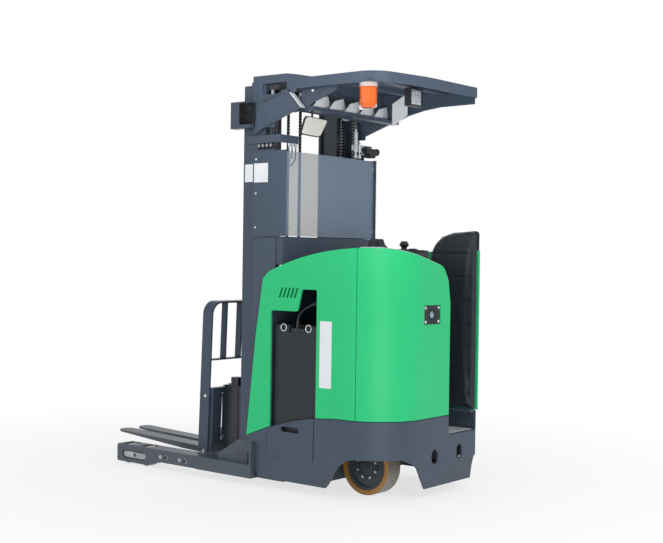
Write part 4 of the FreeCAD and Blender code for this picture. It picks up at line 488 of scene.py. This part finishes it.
def slab(bm, outline, push, corner=0.0, rim=0.0):
    """A plate: an outline pushed along a vector, corners rounded and its far rim bevelled."""
    face = bm.faces.new([bm.verts.new(point) for point in outline])
    if corner:
        bmesh.ops.bevel(
            bm,
            geom=list(face.verts),
            offset=corner,
            segments=4,
            profile=0.5,
            affect="VERTICES",
        )
        # The bevel remakes the outline's face, and a new face has no index. Earlier slabs in the
        # same bmesh have none either, so a second rounded slab can pick one of theirs, as it does
        # in nut_recess_painted_shade.
        face = max(bm.faces, key=lambda f: (f.index == -1, f.calc_area()))
    grown = bmesh.ops.extrude_face_region(bm, geom=[face])["geom"]
    moved = [v for v in grown if isinstance(v, bmesh.types.BMVert)]
    bmesh.ops.translate(bm, verts=moved, vec=Vector(push))
    if rim:
        far = [f for f in grown if isinstance(f, bmesh.types.BMFace)]
        edges = list({e for f in far for e in f.edges})
        bmesh.ops.bevel(bm, geom=edges, offset=rim, segments=3, profile=0.5, affect="EDGES")


def slab_piece(name, slot, material, outline, push, corner=0.0, rim=0.0):
    """A piece that is one slab."""
    bm = bmesh.new()
    slab(bm, outline, push, corner=corner, rim=rim)
    return piece(name, bm, slot, material)


def tube(bm, points, radius, sides):
    """Rings square to the line through the points, bridged one to the next and capped."""
    points = [Vector(p) for p in points]
    count = len(points)
    rings = []
    for i, at in enumerate(points):
        before, after = points[max(i - 1, 0)], points[min(i + 1, count - 1)]
        made = bmesh.ops.create_circle(
            bm, cap_ends=False, segments=sides, radius=radius, matrix=aim(at, after - before)
        )
        ring = set(made["verts"])
        rings.append([e for v in ring for e in v.link_edges if e.other_vert(v) in ring])
    for first, second in zip(rings, rings[1:]):
        bmesh.ops.bridge_loops(bm, edges=list(set(first) | set(second)))
    bmesh.ops.holes_fill(bm, edges=bm.edges, sides=sides)


def bead(bm, at, axis, ring, thick):
    """A round ring: a small circle spun about an axis."""
    axis = Vector(axis).normalized()
    side = axis.orthogonal().normalized()
    made = bmesh.ops.create_circle(
        bm,
        cap_ends=False,
        segments=10,
        radius=thick,
        matrix=aim(Vector(at) + side * ring, side.cross(axis)),
    )
    loop = set(made["verts"])
    edges = list({e for v in loop for e in v.link_edges})
    bmesh.ops.spin(
        bm,
        geom=list(loop) + edges,
        cent=at,
        axis=axis,
        angle=math.tau,
        steps=28,
        use_merge=True,
    )


def turned(bm, at, axis, profile, steps=24):
    """A turned part: (radius, height) points along an axis, spun once round it."""
    axis = Vector(axis).normalized()
    side = axis.orthogonal().normalized()
    at = Vector(at)
    verts = [bm.verts.new(at + side * radius + axis * height) for radius, height in profile]
    edges = [bm.edges.new(pair) for pair in zip(verts, verts[1:])]
    bmesh.ops.spin(
        bm, geom=verts + edges, cent=at, axis=axis, angle=math.tau, steps=steps, use_merge=True
    )
    bmesh.ops.remove_doubles(bm, verts=bm.verts, dist=1e-5)


def button(radius, crown, rim, height):
    """The profile of a flat round head with a chamfer."""
    return [(0.0, 0.0), (radius, 0.0), (radius, rim), (crown, height), (0.0, height)]


def baked(item):
    """Replaces a piece's mesh with what its modifiers make of it."""
    graph = bpy.context.evaluated_depsgraph_get()
    graph.update()
    fresh = bpy.data.meshes.new_from_object(item.evaluated_get(graph))
    item.modifiers.clear()
    item.data = fresh


def share(value):
    """A value held between 0 and 1."""
    return min(1.0, max(0.0, value))


def inflate(pad, wall):
    """Blows the pad out by cloth pressure, held where it lies against its wall."""
    frames, most = 20, 0.008
    held = [v.index for v in pad.data.vertices if v.co.y < wall]
    pad.vertex_groups.new(name="wall").add(held, 1.0, "REPLACE")
    rest = [v.co.copy() for v in pad.data.vertices]
    air = pad.modifiers.new("air", "CLOTH")
    air.settings.quality = 4
    air.settings.use_pressure = True
    air.settings.uniform_pressure_force = 4.0
    air.settings.effector_weights.gravity = 0.0
    air.settings.vertex_group_mass = "wall"
    air.point_cache.frame_start = 1
    air.point_cache.frame_end = frames
    for number in range(1, frames + 1):
        scene.frame_set(number)
    baked(pad)
    for vertex, was in zip(pad.data.vertices, rest):
        step = vertex.co - was
        if step.length > most:
            vertex.co = was + step.normalized() * most


def back_cushion():
    """Moulded back pad: blown by cloth pressure against its wall, then seamed across."""
    low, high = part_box("backrest_pad")
    margin = 0.004
    x0, x1, top = low[0] + margin, high[0] - margin, high[2] - margin
    rounding = [
        (0.009, 0.116),
        (0.030, 0.078),
        (0.066, 0.044),
        (0.110, 0.021),
        (0.165, 0.009),
        (0.240, 0.002),
    ]
    outline = [
        (x0, low[2] + margin),
        (x1, low[2] + margin),
        (x1, top - 0.150),
        *((x1 - back, top - drop) for back, drop in rounding),
        (x0 + 0.022, top),
        (x0 + 0.006, top - 0.007),
        (x0, top - 0.024),
    ]
    face = [(x, low[1] + 0.001, z) for x, z in outline]
    bm = bmesh.new()
    slab(bm, face, (0, high[1] - low[1] - 0.008, 0), rim=0.016)
    pad = piece("back_cushion", bm, "pad", VINYL, smooth=True)
    grid = pad.modifiers.new("grid", "REMESH")
    grid.mode = "VOXEL"
    grid.voxel_size = 0.007
    baked(pad)
    inflate(pad, low[1] + 0.010)
    smooth = pad.modifiers.new("smooth", "SUBSURF")
    smooth.levels = smooth.render_levels = 1
    baked(pad)
    first_seam, pitch, seam, puff = high[2] - 0.138, 0.142, 0.0045, 0.002
    border, fade = 0.022, 0.02
    for vertex in pad.data.vertices:
        front = (vertex.co.y - low[1] - 0.020) / 0.014
        if front <= 0:
            continue
        part = ((first_seam - vertex.co.z) / pitch) % 1.0
        near = min(part, 1.0 - part) * pitch
        inside = share((vertex.co.x - x0 - border) / fade)
        inside *= share((x1 - border - vertex.co.x) / fade)
        below = share((high[2] - 0.10 - vertex.co.z) / fade)
        groove = seam * math.exp(-((near / seam) ** 2))
        crown = puff * math.sin(math.pi * part)
        vertex.co.y += share(front) * inside * below * (crown - groove)
    for face in pad.data.polygons:
        face.use_smooth = True
    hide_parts("backrest_pad")


def edge_piping():
    """Grey piping on a black rubber lip along the rear cover's top and entry edge."""
    low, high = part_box("rear_cover")
    # millimetres: sideways, and up from the cover's top
    route = [
        (446, 1), (430, 1), (410, 1), (387, 1), (352, -6), (316, -12), (280, -18), (245, -25),
        (192, -37), (140, -50), (90, -62), (38, -74), (-12, -87), (-48, -97), (-66, -108),
        (-84, -124), (-97, -146), (-106, -168), (-115, -198), (-123, -232), (-131, -266),
        (-137, -305), (-141, -350), (-141, -420), (-141, -520), (-141, -640), (-141, -780),
    ]
    flat_end, bend_x, bend = 0.155, -0.980, 0.310

    def along(widest, inset):
        for across, up in route:
            y, z = min(across, widest) / 1000, high[2] + up / 1000
            if y <= flat_end:
                yield low[0] + inset, y, z
            else:
                yield bend_x - math.sqrt((bend - inset) ** 2 - (y - flat_end) ** 2), y, z

    for name, slot, material, widest, inset, radius, sides in (
        ("edge_piping", "white_plate", PIPING, 448, 0.0065, 0.0048, 12),
        ("edge_rubber_lip", "black_plastic", BLACK, 440, 0.0155, 0.0065, 10),
    ):
        bm = bmesh.new()
        tube(bm, along(widest, inset), radius, sides)
        piece(name, bm, slot, material, smooth=True)


def side_sticker():
    """The long blank sticker on the green side."""
    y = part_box("side_cover")[1][1]
    corners = ((-0.802, 0.625), (-0.888, 0.625), (-0.888, 1.006), (-0.802, 1.006))
    outline = [(x, y, z) for x, z in corners]
    slab_piece("side_sticker", "white_plate", LABEL, outline, (0, 0.0008, 0), corner=0.006)


def battery_details():
    """Bright rings in the battery's two lifting eyes, and in each a dark disc of painted shade."""
    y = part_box("battery_fittings")[1][1]
    eyes, z = (-0.504, -0.694), 0.955
    bm = bmesh.new()
    for x in eyes:
        bead(bm, (x, y, z), (0, 1, 0), 0.0205, 0.0035)
    piece("battery_eye_rings", bm, "steel", ZINC, smooth=True)
    # dark discs of painted shade inside the eyes
    bm = bmesh.new()
    for x in eyes:
        turned(bm, (x, y + 0.0006, z), (0, 1, 0), button(0.0165, 0.012, 0.0012, 0.0018))
    piece("battery_eye_shade", bm, "black_plastic", RECESS_SHADE, smooth=True)


def hose(name, points, diameter, length, material):
    """A free hose or cable: one NURBS line of order 3 through its held ends."""
    line = bpy.data.curves.new(name, "CURVE")
    line.dimensions = "3D"
    line.bevel_depth = diameter / 2
    line.bevel_resolution = 4
    line.resolution_u = 10
    line.use_fill_caps = True
    spline = line.splines.new("NURBS")
    spline.points.add(len(points) - 1)
    for point, at in zip(spline.points, points):
        point.co = (*at, 1.0)
    spline.order_u = 3
    spline.use_endpoint_u = True
    item = bpy.data.objects.new(name, line)
    scene.collection.objects.link(item)
    line.materials.append(material)
    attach(item, "chassis")
    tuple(points[0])


def hoses():
    """Battery leads under the cover, and three hoses from the tie bar into the mast cover."""
    for number, (y, rise) in enumerate(((0.424, 0.0), (0.402, 0.012))):
        foot = -0.598 + number * 0.012
        points = [
            (foot, y, 0.950),
            (foot, y, 0.998 + rise),
            (-0.616, y, 1.040 + rise),
            (-0.654, y, 1.070 + rise),
            (-0.706, y, 1.092 + rise),
            (-0.745, y, 1.102 + rise),
            (-0.780, y, 1.108 + rise),
        ]
        length = BATTERY_LEADS[number]
        hose(f"battery_lead_{number + 1}", points, 0.013, length, CABLE)
    for number in range(3):
        y = TIE_BAR_HOSES_Y + number * HOSE_STEP
        drop = 0.020 * (2 - number)
        points = [
            (-0.461, y, 2.048),
            (-0.461, y, 2.010),
            (-0.4615, y + 0.006, 1.975 - drop),
            (-0.462, 0.390, 1.938 - drop),
            (-0.462, 0.418, 1.926 - drop),
            (-0.462, 0.4415, 1.920 - drop),
        ]
        length = MAST_HOSES[number]
        hose(f"mast_hose_{number + 1}", points, 0.010, length, HOSE)
    nut, ferrule, shoulder, end = 0.011, 0.0075, 0.012, 0.030
    profile = [
        (0.0, 0.0),
        (nut, 0.0),
        (nut, shoulder),
        (ferrule, shoulder + 0.002),
        (ferrule, end),
        (0.0, end),
    ]
    bm = bmesh.new()
    for number in range(3):
        at = (-0.461, TIE_BAR_HOSES_Y + number * HOSE_STEP, 2.0465)
        turned(bm, at, (0, 0, -1), profile, steps=6)
    piece("hose_nipples", bm, "steel", ZINC)


def mirror_head():
    """Convex glass in a black moulded housing on a straight stem."""
    low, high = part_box("mirror")
    back, depth = low[0], 0.012
    corners = [(0.452, 2.190), (0.236, 2.184), (0.316, 2.071), (0.499, 2.076)]
    y0 = sum(y for y, z in corners) / 4
    z0 = sum(z for y, z in corners) / 4

    def drawn(scale, x):
        return [(x, y0 + (y - y0) * scale, z0 + (z - z0) * scale) for y, z in corners]

    outline, push = drawn(0.985, back + depth), (0.002 - depth, 0, 0)
    shell = slab_piece(
        "mirror_housing", "black_plastic", BLACK, outline, push, corner=0.022, rim=0.0030
    )
    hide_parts("mirror")
    outline, push = drawn(0.90, back + 0.0024), (-0.0022, 0, 0)
    slab_piece("mirror_glass", "mirror_glass", MIRROR, outline, push, corner=0.020, rim=0.0008)
    stem = (low[0] + 0.007, 0.387)
    bm = bmesh.new()
    tube(bm, [(*stem, z) for z in (2.150, 2.180, 2.205, high[2])], 0.007, sides=12)
    piece("mirror_stem", bm, "black_plastic", BLACK, smooth=True)


def leg_plugs():
    """On each base leg's outer face: two bright pin heads, each beside a black plug."""
    y, z = 0.4903, 0.0795
    for name, places, slot, material in (
        ("leg_pins", (0.478, 0.303), "steel", ZINC),
        ("leg_plugs", (0.427, 0.256), "black_plastic", BLACK),
    ):
        bm = bmesh.new()
        for side in (1, -1):
            for x in places:
                profile = button(0.0125, 0.0110, 0.0012, 0.0022)
                turned(bm, (x, side * y, z), (0, side, 0), profile)
        piece(name, bm, slot, material)


def backrest_fasteners():
    """Bright screws on the load backrest's posts, and a strip along each carriage plate."""
    bm = bmesh.new()
    for side in (1, -1):
        for x, z in ((0.216, 0.482), (0.229, 0.134)):
            screw(bm, (x, side * 0.3523, z), (0, side, 0), 0.0115, 0.0050)
    piece("backrest_screws", bm, "steel", ZINC, body="fork_body")
    x, inner, outer, foot, head = 0.1545, 0.2440, 0.2620, 0.230, 0.496
    corners = ((inner, foot), (inner, head), (outer, head), (outer, foot))
    bm = bmesh.new()
    for side in (1, -1):
        slab(bm, [(x, side * y, z) for y, z in corners], (0.004, 0, 0))
    piece("carriage_strips", bm, "dark_paint", BODY, body="fork_body")


def bracket_details():
    """Bare flange folded in along the slanted head plate, pale with painted reflection; a black
    strip of painted shadow along its lap joint; and one button screw.
    """
    outer = 0.4618
    flange = (
        (-0.5430, 2.3285),
        (-0.6310, 2.2365),
        (-0.6350, 2.2403),
        (-0.5470, 2.3323),
    )
    # black strip of painted shadow along the step of the lap joint
    joint = (
        (-0.3360, 2.2880),
        (-0.5080, 2.3380),
        (-0.5060, 2.3330),
        (-0.3360, 2.2835),
    )
    outline = [(x, outer, z) for x, z in flange]
    slab_piece("bracket_flange", "light_paint", LOUVRE, outline, (0, -0.038, 0))
    outline = [(x, outer, z) for x, z in joint]
    slab_piece("bracket_shadow_line", "black_plastic", BLACK, outline, (0, 0.0008, 0))
    bm = bmesh.new()
    screw(bm, (-0.716, 0.4552, 2.328), (0, 1, 0), 0.0085, 0.0035)
    piece("guard_screw", bm, "steel", ZINC)


def roof_plates():
    """Pale plate hung from the roof behind the louvre bar, and the dark web beside it."""
    pale = (
        (-0.7165, 2.338),
        (-0.8050, 2.385),
        (-0.8310, 2.385),
        (-0.8310, 2.260),
        (-0.7210, 2.200),
        (-0.7165, 2.203),
    )
    web = (
        (-0.7400, 2.404),
        (-0.7400, 2.252),
        (-0.7160, 2.237),
        (-0.5900, 2.237),
        (-0.5900, 2.404),
    )
    outline = [(x, -0.3270, z) for x, z in pale]
    plate = slab_piece("pale_plate", "white_plate", LABEL, outline, (0, -0.004, 0))
    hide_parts("pale_panel")
    outline = [(x, -0.3980, z) for x, z in web]
    slab_piece("louvre_web", "light_paint", LIGHT, outline, (0, -0.003, 0))


def scatter(u, v):
    """A number from 0 to 1 that looks random but is the same each run."""
    seed = math.sin(u * 127.1 + v * 311.7) * 43758.5453
    return seed - math.floor(seed)


def lamp_reflector():
    """Faceted reflector on the work lamp's face."""
    low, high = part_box("work_lamp")
    margin, deepest, edge = 0.010, 0.0034, 0.02
    y0, y1 = low[1] + margin, high[1] - margin
    z0, z1 = low[2] + margin, high[2] - margin
    x = low[0] + 0.0040
    bm = bmesh.new()
    made = bmesh.ops.create_grid(
        bm, x_segments=11, y_segments=10, size=0.5, matrix=aim((0, 0, 0), (-1, 0, 0))
    )
    for vertex in made["verts"]:
        u, v = vertex.co.y + 0.5, vertex.co.z + 0.5
        inner = edge < u < 1 - edge and edge < v < 1 - edge
        dent = scatter(u, v) * deepest if inner else 0.0
        vertex.co = (x - dent, y0 + u * (y1 - y0), z0 + v * (z1 - z0))
    bmesh.ops.solidify(bm, geom=bm.faces, thickness=0.0008)
    piece("lamp_reflector", bm, "steel", FACETS)


def switch_box():
    """Rear switch box: bevelled case, a dark ring of painted shade for its round well, bright
    screws, and a lens whose pale blue metal colour is a painted highlight.
    """
    low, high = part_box("rear_lens")
    face, back = low[0] + 0.0025, high[0]
    outline = [
        (back, low[1], low[2]),
        (back, high[1], low[2]),
        (back, high[1], high[2]),
        (back, low[1], high[2]),
    ]
    push = (face - back, 0, 0)
    case = slab_piece("switch_case", "black_plastic", BLACK, outline, push, rim=0.003)
    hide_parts("rear_lens")
    y, z = (low[1] + high[1]) / 2, (low[2] + high[2]) / 2
    bm = bmesh.new()
    for side in (-1, 1):
        for rise in (-1, 1):
            at = (face, y + side * 0.066, z + rise * 0.040)
            screw(bm, at, (-1, 0, 0), 0.0095, 0.0022)
    piece("switch_screws", bm, "steel", ZINC)
    # dark ring of painted shade round the lens, for its well
    bm = bmesh.new()
    bead(bm, (face - 0.0002, y, z), (1, 0, 0), 0.029, 0.0021)
    piece("switch_well_shade", bm, "black_plastic", RECESS_SHADE, smooth=True)
    profile = [
        (0.0, -0.001),
        (0.021, -0.001),
        (0.021, 0.0005),
        (0.015, 0.0018),
        (0.008, 0.0025),
        (0.0, 0.0028),
    ]
    bm = bmesh.new()
    turned(bm, (face + 0.0005, y, z), (-1, 0, 0), profile)
    piece("switch_lens", bm, "steel", GLASS, smooth=True)


def head_shade_sheets():
    """Dark sheets of painted shade in the head boxes' hollows and behind the two rows of nuts."""
    low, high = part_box("head_boxes")
    foot, head = low[2] + 0.0225, high[2] - 0.0085
    x0, x1 = high[0] - 0.0695, low[0] + 0.001
    end = x0 - 0.0005
    # sheets of painted shade on the hollows' walls
    bm = bmesh.new()
    for side in (-1, 1):
        y, rim = side * (high[1] - 0.0445), side * (high[1] - 0.001)
        wall = [(x0, y, foot), (x1, y, foot), (x1, y, head), (x0, y, head)]
        slab(bm, wall, (0, side * 0.0010, 0))
        wall = [(end, y, foot), (end, rim, foot), (end, rim, head), (end, y, head)]
        slab(bm, wall, (-0.0012, 0, 0))
    piece("head_box_painted_shade", bm, "black_plastic", RECESS_SHADE)
    recess = ((-0.412, 2.008), (-0.284, 2.008), (-0.284, 2.0455), (-0.412, 2.0455))
    bm = bmesh.new()
    for side in (-1, 1):
        outline = [(x, side * 0.4423, z) for x, z in recess]
        slab(bm, outline, (0, side * 0.0006, 0), corner=0.006)
    piece("nut_recess_painted_shade", bm, "black_plastic", RECESS_SHADE)


def cover_screws():
    """Bright screws of the mast covers and the screen."""
    bm = bmesh.new()
    for side in (-1, 1):
        for z in (1.544, 1.747, 1.951):
            screw(bm, (-0.277, side * MAST_COVER_Y, z), (0, side, 0), 0.0080, 0.0024)
    for y, z in ((0.386, 1.547), (0.386, 1.944), (-0.428, 1.944), (-0.430, 1.540)):
        screw(bm, (-0.4953, y, z), (-1, 0, 0), 0.0090, 0.0030)
    piece("cover_screws", bm, "steel", ZINC)


def wheel_bolts():
    """Eight bright wheel bolts and the hub's ring, which turn with the drive wheel."""
    low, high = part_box("drive_wheel")
    x, z = (low[0] + high[0]) / 2, (low[2] + high[2]) / 2
    bolts, circle = 8, 0.068
    bm = bmesh.new()
    for number in range(bolts):
        angle = math.tau * (number + 0.5) / bolts
        at = (x + circle * math.cos(angle), WHEEL_FACE, z + circle * math.sin(angle))
        screw(bm, at, (0, 1, 0), 0.0090, 0.0060)
    bead(bm, (x, WHEEL_FACE + 0.001, z), (0, 1, 0), 0.034, 0.0028)
    piece("wheel_bolts", bm, "steel", ZINC, body="drive_wheel_body")


def valve_fittings():
    """Three bright hydraulic risers on a plate at the inner end of the right tie bar."""
    corners = ((-0.352, 2.052), (-0.240, 2.052), (-0.240, 2.088), (-0.352, 2.088))
    nut, neck, body, cap = 0.0115, 0.0065, 0.0125, 0.0075
    bm = bmesh.new()
    slab(bm, [(-0.467, y, z) for y, z in corners], (-0.006, 0, 0), corner=0.006)
    for y, foot, tall in ((-0.260, 2.004, 0.186), (-0.300, 2.004, 0.105), (-0.336, 2.030, 0.060)):
        profile = [
            (0.0, 0.0),
            (nut, 0.0),
            (nut, 0.020),
            (neck, 0.022),
            (neck, 0.038),
            (body, 0.040),
            (body, tall - 0.022),
            (cap, tall - 0.020),
            (cap, tall - 0.004),
            (0.0, tall),
        ]
        turned(bm, (-0.484, y, foot), (0, 0, 1), profile, steps=16)
    piece("valve_fittings", bm, "steel", ZINC)


def flat_plate(name, slot, material, x, y, z, thick, corner):
    """A level rectangle between two values of x and of y."""
    outline = [(x[0], y[0], z), (x[1], y[0], z), (x[1], y[1], z), (x[0], y[1], z)]
    slab_piece(name, slot, material, outline, (0, 0, thick), corner=corner)


def sill_strip():
    """Worn bare edge along the raised lip of the platform, pale with painted light."""
    low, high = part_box("platform")
    x = (low[0] + 0.0135, low[0] + 0.0005)
    y = (low[1] + 0.028, high[1] - 0.006)
    flat_plate("sill_strip", "steel", LOUVRE, x, y, high[2], 0.0012, corner=0.004)


def pad_ledge():
    """Painted sheet ledge that carries the back pad and closes the joint below it."""
    low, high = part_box("backrest_pad")
    x = (low[0] + 0.008, high[0] - 0.002)
    y = (low[1] + 0.001, high[1] - 0.001)
    flat_plate("pad_ledge", "dark_paint", LIGHT, x, y, low[2] - 0.0006, -0.016, corner=0.003)


back_cushion()
edge_piping()
side_sticker()
battery_details()
hoses()
mirror_head()
leg_plugs()
backrest_fasteners()
bracket_details()
roof_plates()
lamp_reflector()
switch_box()
head_shade_sheets()
cover_screws()
wheel_bolts()
valve_fittings()
sill_strip()
pad_ledge()


# ------------------------------------------------------------------ floor, light and camera
def backdrop():
    """A pale floor that keeps the truck's shadow and fades to white away from it."""
    mesh = bpy.data.meshes.new("studio_floor")
    bm = bmesh.new()
    bmesh.ops.create_grid(bm, x_segments=1, y_segments=1, size=30.0)
    bm.to_mesh(mesh)
    bm.free()
    floor = bpy.data.objects.new("studio_floor", mesh)
    scene.collection.objects.link(floor)
    material, tree, place = start("studio_floor_paint")
    path = add(tree, "LightPath").outputs
    tone = blend(tree, noise(tree, place, 40.0, 3.0), srgb("f4f4f4"), srgb("f0f0f0"))
    matt = add(tree, "BsdfDiffuse", {"Color": tone})
    glow = add(tree, "Emission", {"Color": WHITE, "Strength": 1.0})
    seen = calc(tree, "MAXIMUM", path["Is Camera Ray"], path["Is Glossy Ray"])
    span = add(tree, "VectorMath", {0: place}, operation="LENGTH").outputs["Value"]
    away = remap(tree, span, (1.2, 3.4), (0.72, 1.0))
    factor = calc(tree, "MULTIPLY", seen, away)
    mixed = add(tree, "MixShader", {0: factor, 1: matt.outputs[0], 2: glow.outputs[0]})
    floor.data.materials.append(closed(material, mixed))


def sky():
    """White to the camera and through clear parts, a plain soft dome to everything else."""
    world = bpy.data.worlds.new("studio_dome")
    scene.world = world
    world.use_nodes = True
    tree = world.node_tree
    tree.nodes.clear()
    path = add(tree, "LightPath").outputs
    seen = calc(tree, "MAXIMUM", path["Is Camera Ray"], path["Is Transmission Ray"])
    dome = add(tree, "Background", {"Color": srgb("eef1f5"), "Strength": 0.62})
    white = add(tree, "Background", {"Color": WHITE, "Strength": 1.0})
    mixed = add(tree, "MixShader", {0: seen, 1: dome.outputs[0], 2: white.outputs[0]})
    add(tree, "OutputWorld", {"Surface": mixed.outputs[0]})


def softbox(name, at, towards, size, watts, spread=180):
    """A rectangular lamp aimed at a point, which the camera doesn't see."""
    lamp = bpy.data.lights.new(name, "AREA")
    lamp.shape = "RECTANGLE"
    lamp.size, lamp.size_y = size
    lamp.energy = watts
    lamp.spread = math.radians(spread)
    item = bpy.data.objects.new(name, lamp)
    turn = (Vector(towards) - Vector(at)).to_track_quat("-Z", "Y")
    item.matrix_world = Matrix.Translation(at) @ turn.to_matrix().to_4x4()
    item.visible_camera = False
    scene.collection.objects.link(item)


def camera():
    """Eye height 1.37 m, off the truck's rear left corner, 62.5 mm lens on a 36 mm frame."""
    eye = (-4.9461, 5.5577, 1.3653)
    yaw, pitch, roll = (math.radians(a) for a in (-51.396, -0.658, 0.834))
    ahead = Vector(
        (math.cos(pitch) * math.cos(yaw), math.cos(pitch) * math.sin(yaw), math.sin(pitch))
    )
    level = ahead.cross(Vector((0, 0, 1))).normalized()
    rise = level.cross(ahead)
    right = math.cos(roll) * level + math.sin(roll) * rise
    up = -math.sin(roll) * level + math.cos(roll) * rise
    lens = bpy.data.cameras.new("studio_camera")
    lens.sensor_width = 36.0
    lens.lens = 62.52
    lens.clip_end = 200.0
    item = bpy.data.objects.new("studio_camera", lens)
    turn = Matrix((right, up, -ahead)).transposed().to_4x4()
    item.matrix_world = Matrix.Translation(eye) @ turn
    scene.collection.objects.link(item)
    scene.camera = item


backdrop()
sky()
softbox("key_softbox", (-5.5, 1.5, 4.6), (-0.5, 0.0, 1.1), (4.0, 3.0), 110)
softbox("side_softbox", (1.5, 6.5, 3.6), (-0.2, 0.0, 1.0), (5.0, 3.0), 80)
softbox("low_softbox", (-3.4, 2.6, 0.30), (-0.75, 0.1, 2.3), (2.4, 1.4), 30)
softbox("roof_softbox", (-2.3, 2.0, 1.45), (-0.85, 0.0, 2.65), (1.2, 0.6), 4.5, spread=62)
softbox("rim_softbox", (3.0, -5.0, 4.0), (0.0, 0.0, 1.0), (4.0, 3.0), 80)
camera()
